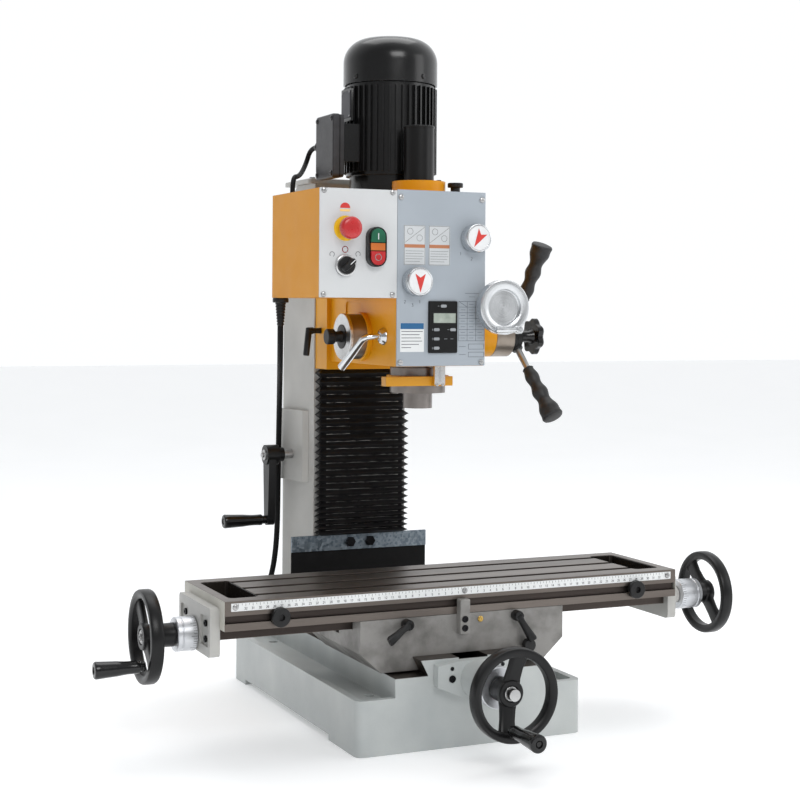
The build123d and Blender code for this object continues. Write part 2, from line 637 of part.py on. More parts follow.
# ---------------------------------------------------------------- head
def make_head():
    with BuildPart() as head:
        block(facing_front(0, 105, 642), 140, 250, 105 - HEAD_FRONT)
        fillet(head.edges().filter_by(Axis.Z).group_by(Axis.Y)[0], 3)
        block(facing_front(0, HEAD_REAR, 635.5), 154, 263, HEAD_REAR - 100)
        # shallow panels of the left side, with a rib between them
        with BuildSketch(facing_left(-HEAD_HALF_WIDTH, 0, 0)):
            with Locations((-10, 585)):
                RectangleRounded(60, 50, 6)
        extrude(amount=-2, mode=Mode.SUBTRACT)
        # gearbox, with the ring and drawbar passage above it
        with BuildSketch(facing_up(0, -11, GEARBOX_FLOOR_Z)):
            RectangleRounded(120, 252, 10)
        extrude(amount=GEARBOX_ROOF_Z - GEARBOX_FLOOR_Z, mode=Mode.SUBTRACT)
        disc(facing_up(0, SPINDLE_Y, HEAD_TOP_Z), 39.5, 20)
        disc(facing_up(0, SPINDLE_Y, GEARBOX_ROOF_Z), 22 + RUNNING_GAP, 21, Mode.SUBTRACT)
        disc(facing_up(0, SPINDLE_Y, GEARBOX_ROOF_Z), 12, 30, Mode.SUBTRACT)
        disc(facing_up(0, SPINDLE_Y, HEAD_BOTTOM_Z), QUILL_R + RUNNING_GAP, 133, Mode.SUBTRACT)
        disc(facing_up(0, SPINDLE_Y, 640), 18, 20, Mode.SUBTRACT)
        disc(facing_up(0, MOTOR_Y, GEARBOX_ROOF_Z), 23.5, 12, Mode.SUBTRACT)
        disc(facing_up(0, CLUSTER_Y, 645), JOURNAL_R + RUNNING_GAP, 119, Mode.SUBTRACT)
        # cross bore of the quill's pinion
        disc(facing_right(-16, FEED_Y, FEED_Z), 12.2, 90, Mode.SUBTRACT)
        disc(facing_left(-10, FEED_Y, FEED_Z), JOURNAL_R + RUNNING_GAP, 65, Mode.SUBTRACT)
        # slot of the depth scale
        block(facing_up(8.5, -129.5, HEAD_BOTTOM_Z), 24, 7, 128, Mode.SUBTRACT)
        # dovetail along the column and the nut behind it
        prism(
            facing_up(0, 0, 500),
            [
                (-HEAD_WAY_ROOT - FACE_GAP, COLUMN_FACE),
                (-HEAD_WAY_TIP - FACE_GAP, HEAD_WAY_FACE - FACE_GAP),
                (HEAD_WAY_TIP + FACE_GAP, HEAD_WAY_FACE - FACE_GAP),
                (HEAD_WAY_ROOT + FACE_GAP, COLUMN_FACE),
            ],
            270,
            Mode.SUBTRACT,
        )
        block(facing_front(0, 225, 580), 38, 40, 95)
        disc(facing_up(0, HEAD_SCREW_Y, 560), 11.05, 40, Mode.SUBTRACT)
        # seats of the two clamping levers
        disc(facing_left(-50, -104, 559), 5 + RUNNING_GAP, 30, Mode.SUBTRACT)
        disc(facing_left(-66, 126, 564), 5 + RUNNING_GAP, 20, Mode.SUBTRACT)
        # holes behind the two speed knobs
        with BuildSketch(facing_front(0, HEAD_FRONT + 14, 0)):
            with Locations((UPPER_KNOB_X, UPPER_KNOB_Z), (LOWER_KNOB_X, LOWER_KNOB_Z)):
                Circle(5 + RUNNING_GAP)
        extrude(amount=20, mode=Mode.SUBTRACT)
    keep(head, "head_casting")


def make_head_panel():
    with BuildPart() as panel:
        block(facing_front(0, HEAD_FRONT, 642.9), 140, 251, HEAD_FRONT - PANEL_FRONT)
        with BuildSketch(facing_front(0, HEAD_FRONT + 1, 0)):
            with Locations((UPPER_KNOB_X, UPPER_KNOB_Z), (LOWER_KNOB_X, LOWER_KNOB_Z)):
                Circle(5 + RUNNING_GAP)
        extrude(amount=10, mode=Mode.SUBTRACT)
    keep(panel, "head_panel")


def make_speed_knob(name, x, z):
    with BuildPart() as knob:
        disc(facing_front(x, HEAD_FRONT + 12, z), 5, 16)
        disc(facing_front(x, PANEL_FRONT - 0.4, z), 21, 19)
        fillet(knob.faces().sort_by(Axis.Y)[0].edges(), 1.5)
    keep(knob, name)


def make_control_box():
    left_x = -188.3
    right_x = -70.4
    width = right_x - left_x
    middle_x = (left_x + right_x) / 2
    bottom_z = 614.2
    height = HEAD_TOP_Z - bottom_z
    middle_z = (HEAD_TOP_Z + bottom_z) / 2
    front_y = PANEL_FRONT + 2
    back_y = 42.8
    wall = 2.5
    with BuildPart() as box:
        block(facing_front(middle_x, back_y, middle_z), width, height, back_y - front_y)
        # two chambers, in front of and behind the plate that carries the electrics
        for chamber_front, chamber_back in ((front_y - 1, -57), (-54.5, back_y - wall)):
            block(
                facing_front(middle_x, chamber_back, middle_z),
                width - 2 * wall,
                height - 2 * wall,
                chamber_back - chamber_front,
                Mode.SUBTRACT,
            )
        disc(facing_up(MAINS_X, MAINS_Y, bottom_z - 1), 6, 5, Mode.SUBTRACT)
    keep(box, "control_box")

    with BuildPart() as panel:
        block(facing_front(middle_x, front_y, middle_z), width, height, front_y - PANEL_FRONT)
        disc(facing_front(ESTOP_X, PANEL_FRONT, ESTOP_Z), 17.5, 1.5)
        disc(facing_front(SELECTOR_X, PANEL_FRONT, SELECTOR_Z), 15.5, 5)
        with BuildSketch(facing_front(BUTTON_X, PANEL_FRONT, (START_Z + STOP_Z) / 2)):
            RectangleRounded(27, 55.3, 13)
        extrude(amount=BUTTON_FRAME_DEPTH)
        disc(facing_front(ESTOP_X, front_y + 1, ESTOP_Z), 10 + FACE_GAP, 10, Mode.SUBTRACT)
        disc(facing_front(SELECTOR_X, PANEL_FRONT, SELECTOR_Z), 11.5, 10, Mode.SUBTRACT)
        disc(facing_front(SELECTOR_X, front_y + 1, SELECTOR_Z), 6 + RUNNING_GAP, 10, Mode.SUBTRACT)
        with BuildSketch(facing_front(BUTTON_X, front_y + 1, 0)):
            with Locations((0, START_Z), (0, STOP_Z)):
                RectangleRounded(BUTTON_WIDTH + 4 * FACE_GAP, BUTTON_HEIGHT + 4 * FACE_GAP, 6)
        extrude(amount=BUTTON_FRAME_DEPTH + 5, mode=Mode.SUBTRACT)
    keep(panel, "control_panel")


def make_controls():
    with BuildPart() as estop:
        disc(facing_front(ESTOP_X, PANEL_FRONT + 16, ESTOP_Z), 10, 30)
        disc(facing_front(ESTOP_X, PANEL_FRONT - 14, ESTOP_Z), 15.5, 12)
        fillet(estop.faces().sort_by(Axis.Y)[0].edges(), 4)
    keep(estop, "estop_button")
    for name, z in (("start_button", START_Z), ("stop_button", STOP_Z)):
        with BuildPart() as button:
            with BuildSketch(facing_front(BUTTON_X, PANEL_FRONT + 8, z)):
                RectangleRounded(BUTTON_WIDTH, BUTTON_HEIGHT, 6)
            extrude(amount=8 + BUTTON_FRAME_DEPTH + 1.5)
        keep(button, name)
    with BuildPart() as selector:
        disc(facing_front(SELECTOR_X, PANEL_FRONT + 12, SELECTOR_Z), 6, 14)
        disc(facing_front(SELECTOR_X, PANEL_FRONT - 0.2, SELECTOR_Z), 11, 8)
        block(facing_front(SELECTOR_X, PANEL_FRONT - 8.2, SELECTOR_Z).rotated((0, 0, -40)), 6, 20, 9)
    keep(selector, "selector_knob")


def make_motor():
    body_r = 67.5
    fan_cover_r = 72.3
    cover_corner_r = 38.0
    cover_sheet = 2.5
    cover_top_z = 1013.0
    flat_r = fan_cover_r - cover_corner_r
    shoulder_z = cover_top_z - cover_corner_r
    with BuildPart() as motor:
        disc(facing_up(0, MOTOR_Y, HEAD_TOP_Z), 62, 34)
        disc(facing_up(0, MOTOR_Y, 801), body_r, 140)
        with BuildSketch(facing_up(0, MOTOR_Y, 806)):
            with PolarLocations(body_r, 44):
                Rectangle(9, 2.6)
        extrude(amount=130)
        # seat of the terminal box
        block(facing_left(-60, 35, 848.5), 60, 57, 31)
        disc(facing_up(0, MOTOR_Y, HEAD_TOP_Z), 9 + RUNNING_GAP, 180, Mode.SUBTRACT)
        disc(facing_up(0, MOTOR_Y, 808), 47, 120, Mode.SUBTRACT)
    keep(motor, "motor_body")

    with BuildPart() as cover:
        with BuildSketch(Plane.XZ.offset(-MOTOR_Y)):
            with BuildLine():
                Line((0, cover_top_z), (flat_r, cover_top_z))
                RadiusArc((flat_r, cover_top_z), (fan_cover_r, shoulder_z), cover_corner_r)
                Polyline(
                    (fan_cover_r, shoulder_z),
                    (fan_cover_r, 941.2),
                    (fan_cover_r - cover_sheet, 941.2),
                    (fan_cover_r - cover_sheet, shoulder_z),
                )
                RadiusArc(
                    (fan_cover_r - cover_sheet, shoulder_z),
                    (flat_r, cover_top_z - cover_sheet),
                    cover_sheet - cover_corner_r,
                )
                Polyline((flat_r, cover_top_z - cover_sheet), (0, cover_top_z - cover_sheet), (0, cover_top_z))
            make_face()
        revolve(axis=Axis((0, MOTOR_Y, 0), (0, 0, 1)))
        # air holes around the middle of the top
        with BuildSketch(facing_up(0, MOTOR_Y, 1005)):
            for ring_r, holes in ((12, 6), (21, 12), (29, 18)):
                with PolarLocations(ring_r, holes):
                    Circle(2.6)
        extrude(amount=12, mode=Mode.SUBTRACT)
    keep(cover, "fan_cover")

    with BuildPart() as rotor:
        disc(facing_up(0, MOTOR_Y, 716), 9, 262)
        gear(facing_up(0, MOTOR_Y, 725), 20, 20, 270)
        disc(facing_up(0, MOTOR_Y, 814), 45, 106)
        disc(facing_up(0, MOTOR_Y, 955), 22, 20)
        with BuildSketch(facing_up(0, MOTOR_Y, 955)):
            with PolarLocations(40, 8):
                Rectangle(46, 3)
        extrude(amount=20)
    keep(rotor, "motor_rotor")

    with BuildPart() as terminal_box:
        with BuildSketch(facing_left(-91.2, 35, 843)):
            RectangleRounded(70, 94, 5)
        extrude(amount=7.8)
        with BuildSketch(facing_left(-99, 35, 843)):
            RectangleRounded(72, 96, 6)
        extrude(amount=10.2)
        fillet(terminal_box.faces().sort_by(Axis.X)[0].edges(), 3)
    keep(terminal_box, "terminal_box")

    cable_route = [
        (-103, 71.1, 846.6),
        (-102, 108, 850),
        (-108, 116, 822),
        (-134, 74, 800),
        (-160, 36, 796),
        (-160, 34, HEAD_TOP_Z),
    ]
    radii = bend_radii(cable_route)
    with BuildPart() as cable:
        with BuildLine() as path:
            FilletPolyline(*cable_route, radius=radii)
        with BuildSketch(Plane(origin=path.line @ 0, z_dir=path.line % 0)):
            Circle(MOTOR_CABLE_R)
        sweep()
    keep(cable, "motor_cable")


def bend_radii(route):
    """One radius for every inner point of a cord's route, from the shorter run beside it."""
    radii = []
    for before, here, after in zip(route, route[1:], route[2:]):
        incoming = Vector(*here) - Vector(*before)
        outgoing = Vector(*after) - Vector(*here)
        half_turn = math.radians(incoming.get_angle(outgoing)) / 2
        shorter = min(incoming.length, outgoing.length)
        radii.append(round(0.45 * shorter / math.tan(half_turn), 1))
    return radii


def make_gear_train():
    with BuildPart() as cluster:
        disc(facing_up(0, CLUSTER_Y, 647), JOURNAL_R, 115)
        gear(facing_up(0, CLUSTER_Y, 725), 28, 20, 90 + 180 / 28)
        gear(facing_up(0, CLUSTER_Y, 664), 18, 20, 270)
    keep(cluster, "gear_cluster")
    with BuildPart() as drive_gear:
        gear(facing_up(0, SPINDLE_Y, 664), 40, 20, 90 + 180 / 40)
        disc(facing_up(0, SPINDLE_Y, 656), 22, 120)
        disc(facing_up(0, SPINDLE_Y, 656), 15 + RUNNING_GAP, 120, Mode.SUBTRACT)
    keep(drive_gear, "drive_gear")
    with BuildPart() as cover:
        disc(facing_up(0, SPINDLE_Y, HEAD_TOP_Z + 20), 22.3, 82)
        disc(facing_up(0, SPINDLE_Y, HEAD_TOP_Z + 20), 19.6, 79, Mode.SUBTRACT)
        chamfer(cover.faces().sort_by(Axis.Z)[-1].edges(), 2)
    keep(cover, "drawbar_cover")


def make_quill():
    ring_r = 41.0
    clamp_z = 487.7
    clamp_height = 13.6
    scale_x = 7.05
    scale_width = 17.5
    rack_pitch = math.pi * GEAR_MODULE
    tip_y = RACK_Y + 0.8 * GEAR_MODULE
    root_y = RACK_Y - 1.25 * GEAR_MODULE
    with BuildPart() as quill:
        disc(facing_up(0, SPINDLE_Y, 476), ring_r, 37)
        disc(facing_up(0, SPINDLE_Y, 513), QUILL_R, 135)
        disc(facing_up(0, SPINDLE_Y, 474), 20 + RUNNING_GAP, 174, Mode.SUBTRACT)
        # the rack that the feed pinion drives
        block(facing_up(0, tip_y + 5, 541), 60, 10, 107, Mode.SUBTRACT)
        with BuildSketch(facing_right(-30, 0, 0)):
            for groove in range(-2, 14):
                middle = FEED_Z + groove * rack_pitch
                with BuildLine():
                    Polyline(
                        (tip_y + 1, middle - 2.75),
                        (tip_y + 1, middle + 2.75),
                        (root_y, middle + 1.5),
                        (root_y, middle - 1.5),
                        close=True,
                    )
                make_face()
        extrude(amount=60, mode=Mode.SUBTRACT)
    keep(quill, "quill")

    with BuildPart() as spindle:
        disc(facing_up(0, SPINDLE_Y, 453), 21.8, 22.8)
        disc(facing_up(0, SPINDLE_Y, 473), 20, 175)
        disc(facing_up(0, SPINDLE_Y, 647), 15, 108)
        disc(facing_up(0, SPINDLE_Y, 754), 6, 46)
        # tapered mouth and straight bore for the tool shank
        with BuildSketch(facing_up(0, SPINDLE_Y, 453)):
            Circle(15.9)
        with BuildSketch(facing_up(0, SPINDLE_Y, 477)):
            Circle(12.05)
        loft(mode=Mode.SUBTRACT)
        disc(facing_up(0, SPINDLE_Y, 476), 12.05, 64, Mode.SUBTRACT)
    keep(spindle, "spindle")

    with BuildPart() as clamp:
        disc(facing_up(0, SPINDLE_Y, clamp_z), 46, clamp_height)
        block(facing_up(-21.35, -115, clamp_z), 106.3, 16, clamp_height)
        block(facing_up(scale_x, -129.5, clamp_z), scale_width, 3, 152)
        block(facing_up(scale_x, -125.5, clamp_z), scale_width, 6, clamp_height)
        disc(facing_up(0, SPINDLE_Y, 480), ring_r, 30, Mode.SUBTRACT)
    keep(clamp, "depth_clamp")


def make_quill_feed():
    rod_length = 148.0
    grip_root = 66.0
    grip_end = 154.0
    rod_tilt = math.radians(8.6)
    hub_x = 179.0
    with BuildPart() as housing:
        disc(facing_right(HEAD_HALF_WIDTH, FEED_Y, FEED_Z), 40, 34)
        disc(facing_right(104, FEED_Y, FEED_Z), 31, 35)
        disc(facing_front(FINE_FEED_X, 0, FINE_FEED_Z), 16, 150)
        block(facing_right(HEAD_HALF_WIDTH, FEED_Y, 585), 55, 34, 34)
        disc(facing_right(69, FEED_Y, FEED_Z), JOURNAL_R + RUNNING_GAP, 80, Mode.SUBTRACT)
        disc(facing_front(FINE_FEED_X, -20, FINE_FEED_Z), 9 + RUNNING_GAP, 140, Mode.SUBTRACT)
    keep(housing, "feed_housing")

    with BuildPart() as hub:
        disc(facing_right(-98, FEED_Y, FEED_Z), JOURNAL_R, 239)
        # the pinion is cut down to its root where it meets the rack
        disc(facing_right(-13, FEED_Y, FEED_Z), 20, 26, Mode.SUBTRACT)
        gear(facing_right(-13, FEED_Y, FEED_Z), 10, 26, 180)
        disc(facing_right(139.3, FEED_Y, FEED_Z), 31, 32.7)
        disc(facing_right(172, FEED_Y, FEED_Z), 22, 18)
        for angle in ROD_ANGLES:
            rod(rod_point(angle, 0, hub_x, rod_tilt), rod_point(angle, rod_length, hub_x, rod_tilt), 5)
        disc(facing_right(189, FEED_Y, FEED_Z), 5, 25)
    keep(hub, "feed_hub")

    with BuildPart() as grips:
        for angle in ROD_ANGLES:
            start = rod_point(angle, grip_root, hub_x, rod_tilt)
            end = rod_point(angle, grip_end, hub_x, rod_tilt)
            way = Vector(*end) - Vector(*start)
            plane = Plane(origin=start, z_dir=way)
            with BuildSketch(plane):
                Circle(9)
            with BuildSketch(plane.offset(way.length)):
                Circle(15)
            loft()
            disc(plane, 5 + RUNNING_GAP, rod_length - grip_root + 1, Mode.SUBTRACT)
    keep(grips, "feed_grips")

    with BuildPart() as knob:
        with BuildSketch(facing_right(214.2, FEED_Y, FEED_Z)):
            Circle(25)
            with PolarLocations(22, 7):
                Circle(6.8)
        extrude(amount=10)
        disc(facing_right(192, FEED_Y, FEED_Z), 9, 23)
        disc(facing_right(190, FEED_Y, FEED_Z), 5 + RUNNING_GAP, 25, Mode.SUBTRACT)
    keep(knob, "feed_clutch_knob")

    with BuildPart() as spring_housing:
        disc(facing_left(-HEAD_HALF_WIDTH, FEED_Y, FEED_Z), 34.5, 34.4)
        disc(facing_left(-104, FEED_Y, FEED_Z), 6, 15)
        with BuildSketch(facing_left(-118, FEED_Y, FEED_Z)):
            RegularPolygon(11.5, 6)
        extrude(amount=11)
        disc(facing_left(-69, FEED_Y, FEED_Z), 28, 30, Mode.SUBTRACT)
    keep(spring_housing, "spring_housing")


def rod_point(angle, distance, hub_x, tilt):
    """A point along one of the feed rods, which lean outwards by the tilt."""
    turn = math.radians(angle)
    reach = distance * math.cos(tilt)
    return (
        hub_x + distance * math.sin(tilt),
        FEED_Y + reach * math.cos(turn),
        FEED_Z + reach * math.sin(turn),
    )


def make_fine_feed():
    disc_front = -182.0
    with BuildPart() as wheel:
        disc(facing_front(FINE_FEED_X, -22, FINE_FEED_Z), 9, 146)
        disc(facing_front(FINE_FEED_X, -162, FINE_FEED_Z), 39.5, 20)
        disc(facing_front(FINE_FEED_X, disc_front + 6, FINE_FEED_Z), 26, 10, Mode.SUBTRACT)
        chamfer(wheel.faces().sort_by(Axis.Y)[0].outer_wire().edges(), 1.5)
    keep(wheel, "fine_feed_wheel")
    with BuildPart() as handle:
        pivot_y = disc_front - 6
        rod((FOLD_PIVOT_X, pivot_y, FOLD_PIVOT_Z), (FOLD_PIVOT_X - 36, pivot_y, FOLD_PIVOT_Z), 5)
        disc(facing_up(FOLD_PIVOT_X, pivot_y, FOLD_PIVOT_Z - 5), 5, 10)
    keep(handle, "fine_feed_handle")


def make_clamp_levers():
    route = [(-76, -104, 559), (-114, -100, 556), (-113, -75, 535), (-112, -47, 513)]
    with BuildPart() as quill_lever:
        disc(facing_left(-52, -104, 559), 5, 19)
        disc(facing_left(-HEAD_HALF_WIDTH - 0.3, -104, 559), 13, 10)
        with BuildLine() as path:
            FilletPolyline(*route, radius=[14, 30])
        with BuildSketch(Plane(origin=path.line @ 0, z_dir=path.line % 0)):
            Circle(5)
        sweep()
        with Locations(route[-1]):
            Sphere(5)
    keep(quill_lever, "quill_lock_lever")
    with BuildPart() as head_lever:
        disc(facing_left(-67, 126, 564), 5, 12)
        disc(facing_left(-77.3, 126, 564), 9, 27)
        rod((-98, 126, 564), (-103, 122, 529), 4)
        with Locations((-103, 122, 529)):
            Sphere(6)
    keep(head_lever, "head_lock_lever")


# ---------------------------------------------------------------- mains lead
def make_mains_lead():
    gland_bottom_z = 600.0
    coil_x = 21.0
    coil_y = 374.0
    coil_r = 54.0
    coil_height = 26.0
    plug_x = 84.5
    plug_y = 306.5
    plug_z = 13.0
    route = [
        (MAINS_X, MAINS_Y, gland_bottom_z + 10),
        (MAINS_X, MAINS_Y, 543),
        (-112, 216, 462),
        (-106, 237, 356),
        (-106, 240, 190),
        (-124, 262, 115),
        (-124, 290, 45),
        (-106, 352, 12),
        (-46, 372, 12),
    ]
    with BuildPart() as gland:
        disc(facing_up(MAINS_X, MAINS_Y, gland_bottom_z), 7.5, 614.2 - gland_bottom_z)
        disc(facing_up(MAINS_X, MAINS_Y, 610), 9, 4.2)
        disc(facing_up(MAINS_X, MAINS_Y, gland_bottom_z), CORD_R, 20, Mode.SUBTRACT)
    keep(gland, "mains_gland")
    radii = bend_radii(route)
    with BuildPart() as cord:
        with BuildLine() as path:
            FilletPolyline(*route, radius=radii)
        with BuildSketch(Plane(origin=path.line @ 0, z_dir=path.line % 0)):
            Circle(CORD_R)
        sweep()
    keep(cord, "mains_cord")
    with BuildPart() as coil:
        with BuildSketch(facing_up(coil_x, coil_y, 0)):
            Circle(coil_r + 3 * CORD_R)
            Circle(coil_r - 3 * CORD_R, mode=Mode.SUBTRACT)
        extrude(amount=coil_height)
        fillet(coil.edges(), 4)
    keep(coil, "mains_coil")
    with BuildPart() as plug:
        with BuildSketch(facing_up(plug_x, plug_y, 0)):
            RectangleRounded(36, 44, 8)
        extrude(amount=26)
        with BuildSketch(facing_front(plug_x, plug_y - 21, plug_z)):
            with Locations((-9.5, 0), (9.5, 0)):
                Circle(2.4)
        extrude(amount=20)
        disc(facing_front(plug_x, plug_y + 40.5, plug_z), 7, 22)
    keep(plug, "mains_plug")


make_base()
make_column()
make_cross_feed_bracket()
make_crank_bracket()
make_way_cover()
make_bellows()
make_saddle()
make_lock_lever("lock_lever_left", -89.7, 168.4, -124, 150)
make_lock_lever("lock_lever_right", 80.2, 168.6, 97, 136)
make_saddle_lock_knob()
make_table()
make_cross_feed()
make_long_feed()
make_head_feed()
make_head()
make_head_panel()
make_speed_knob("speed_knob_upper", UPPER_KNOB_X, UPPER_KNOB_Z)
make_speed_knob("speed_knob_lower", LOWER_KNOB_X, LOWER_KNOB_Z)
make_control_box()
make_controls()
make_motor()
make_gear_train()
make_quill()
make_quill_feed()
make_fine_feed()
make_clamp_levers()
make_mains_lead()
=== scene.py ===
import math
import random

import bmesh
import bpy
from mathutils import Matrix, Vector


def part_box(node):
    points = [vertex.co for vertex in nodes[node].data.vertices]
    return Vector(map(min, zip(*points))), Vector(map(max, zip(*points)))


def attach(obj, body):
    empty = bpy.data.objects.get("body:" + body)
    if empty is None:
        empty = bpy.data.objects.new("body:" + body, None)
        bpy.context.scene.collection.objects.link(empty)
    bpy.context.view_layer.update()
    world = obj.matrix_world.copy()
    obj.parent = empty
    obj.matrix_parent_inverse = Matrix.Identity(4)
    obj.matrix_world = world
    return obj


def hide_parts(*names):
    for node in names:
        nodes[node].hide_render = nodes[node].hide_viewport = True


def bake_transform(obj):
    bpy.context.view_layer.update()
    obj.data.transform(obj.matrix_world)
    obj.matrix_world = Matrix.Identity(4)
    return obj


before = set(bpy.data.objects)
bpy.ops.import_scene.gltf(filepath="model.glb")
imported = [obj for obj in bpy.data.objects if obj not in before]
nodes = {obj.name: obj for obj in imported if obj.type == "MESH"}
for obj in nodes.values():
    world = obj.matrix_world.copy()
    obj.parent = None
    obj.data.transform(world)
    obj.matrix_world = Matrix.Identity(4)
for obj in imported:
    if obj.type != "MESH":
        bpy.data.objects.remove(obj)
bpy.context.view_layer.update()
random.seed(7)

MM = 0.001
X_AXIS = Vector((1, 0, 0))
Y_AXIS = Vector((0, 1, 0))
Z_AXIS = Vector((0, 0, 1))
FRONT = -Y_AXIS
PANEL_Y = -149.7  # the face of the head panel and the control panel, in mm
SPINDLE_Y = -70.0
TABLE_Y = -140.0
SCREW_X_Z = 161.0
SCREW_Y_Z = 95.0
FEED_Y = -27.5
FEED_Z = 557.5
FINE_FEED_X = 86.8
FINE_FEED_Z = 602.2


def mm(x, y, z):
    """A point in the frame, from millimetres."""
    return Vector((x, y, z)) * MM


def srgb(red, green, blue):
    """A linear colour from screen values of 0 to 255."""
    channels = []
    for value in (red, green, blue):
        value /= 255
        channels.append(value / 12.92 if value <= 0.04045 else ((value + 0.055) / 1.055) ** 2.4)
    return (*channels, 1.0)


# ---------------------------------------------------------------- materials
def add_node(tree, kind, inputs=None, **settings):
    """A new node with its settings; each input is a constant or another node's output."""
    made = tree.nodes.new(kind)
    for setting, value in settings.items():
        setattr(made, setting, value)
    for socket, value in (inputs or {}).items():
        if isinstance(value, bpy.types.NodeSocket):
            tree.links.new(value, made.inputs[socket])
        else:
            made.inputs[socket].default_value = value
    return made


mat = {}


class Finish:
    """A material under construction, kept in mat by its name, with short ways to add its nodes."""

    def __init__(self, name, roughness=0.5, metallic=0.0, coat=0.0, coat_roughness=0.1, specular=0.5):
        self.material = mat[name] = bpy.data.materials.new(name)
        self.material.use_nodes = True
        self.tree = self.material.node_tree
        self.shader = self.tree.nodes["Principled BSDF"]
        for socket, value in (("Roughness", roughness), ("Metallic", metallic), ("Coat Weight", coat),
                              ("Coat Roughness", coat_roughness), ("Specular IOR Level", specular)):
            self.shader.inputs[socket].default_value = value

    def node(self, kind, inputs=None, **settings):
        return add_node(self.tree, kind, inputs, **settings)

    def link(self, output, socket):
        self.tree.links.new(output, self.shader.inputs[socket])

    def noise(self, scale, detail=3.0, stretch=(1, 1, 1)):
        """Noise in object coordinates, which are stretched by three factors."""
        where = self.node("ShaderNodeTexCoord").outputs["Object"]
        place = self.node("ShaderNodeMapping", {"Vector": where, "Scale": stretch}).outputs["Vector"]
        inputs = {"Scale": scale, "Detail": detail, "Vector": place}
        return self.node("ShaderNodeTexNoise", inputs).outputs["Fac"]

    def colour(self, value, low, high, start=0.3, end=0.7):
        """The base colour goes between two screen colours as the value goes from start to end."""
        made = self.node("ShaderNodeValToRGB", {"Fac": value})
        for element, position, shade in zip(made.color_ramp.elements, (start, end), (low, high)):
            element.position = position
            element.color = srgb(*shade)
        self.link(made.outputs["Color"], "Base Color")

    def roughness(self, value, low, high):
        """The roughness follows the value from low to high."""
        made = self.node("ShaderNodeMapRange", {"Value": value, "To Min": low, "To Max": high})
        self.link(made.outputs["Result"], "Roughness")

    def bump(self, height, distance, strength=1.0, rounding=0.0):
        """Relief of that distance in metres, on top of edges rounded by a small radius."""
        inputs = {"Distance": distance, "Strength": strength, "Height": height}
        if rounding:
            inputs["Normal"] = self.node("ShaderNodeBevel", {"Radius": rounding}, samples=6).outputs["Normal"]
        self.link(self.node("ShaderNodeBump", inputs).outputs["Normal"], "Normal")


def paint(name, low, high, roughness, grain, relief, coat=0.15, rounding=0.0012, specular=0.5):
    """Sprayed paint on a casting: tone drifts slowly, and the surface has the casting's grain."""
    finish = Finish(name, roughness, coat=coat, coat_roughness=0.25, specular=specular)
    finish.colour(finish.noise(9, 5), low, high)
    finish.roughness(finish.noise(40, 4), roughness - 0.08, roughness + 0.1)
    finish.bump(finish.noise(grain, 4), relief, 0.5, rounding)


def printed(name, low, high, roughness=0.5):
    """The smooth face or the ink of a label."""
    paint(name, low, high, roughness, 900, 0.00002, rounding=0.0002)


def moulded(name, low, high, roughness, grain=900, relief=0.00006, coat=0.0, specular=0.5):
    """Moulded plastic or rubber with a fine even texture."""
    finish = Finish(name, roughness, coat=coat, specular=specular)
    finish.colour(finish.noise(60, 3), low, high)
    finish.roughness(finish.noise(180, 3), roughness - 0.06, roughness + 0.06)
    finish.bump(finish.noise(grain, 2), relief, 0.6, 0.0006)


def metal(name, low, high, roughness, lines=700, relief=0.00003, stretch=(1, 1, 1)):
    """Bare metal whose tool marks run across the stretched directions."""
    finish = Finish(name, roughness, metallic=1.0)
    finish.colour(finish.noise(25, 5, stretch), low, high)
    finish.roughness(finish.noise(lines, 3, stretch), roughness - 0.08, roughness + 0.12)
    finish.bump(finish.noise(lines, 2, stretch), relief, 0.5, 0.0006)


def galvanised():
    """Zinc coating with its flower-like crystals."""
    finish = Finish("galvanised", 0.4, metallic=1.0)
    where = finish.node("ShaderNodeTexCoord").outputs["Object"]
    crystals = finish.node("ShaderNodeTexVoronoi", {"Scale": 260, "Vector": where}).outputs["Color"]
    finish.colour(crystals, (126, 140, 152), (166, 178, 188), 0.2, 0.8)
    finish.roughness(crystals, 0.28, 0.5)
    finish.bump(finish.noise(120, 3), 0.00005, 0.4, 0.0005)


def rough_casting(name, low, high, roughness):
    """Raw grey iron as it left the sand mould, with pits and darker stains."""
    finish = Finish(name, roughness, metallic=0.35)
    finish.colour(finish.noise(28, 8), low, high, 0.35, 0.62)
    finish.roughness(finish.noise(90, 5), roughness - 0.1, roughness + 0.12)
    finish.bump(finish.noise(420, 6), 0.0006, 0.55, 0.001)


def screen_glass():
    """The pale green-grey glass of the depth readout."""
    finish = Finish("glass", 0.16, coat=0.5)
    finish.colour(finish.noise(90, 2), (150, 160, 150), (176, 184, 174))
    finish.bump(finish.noise(200, 2), 0.00001, 0.3)


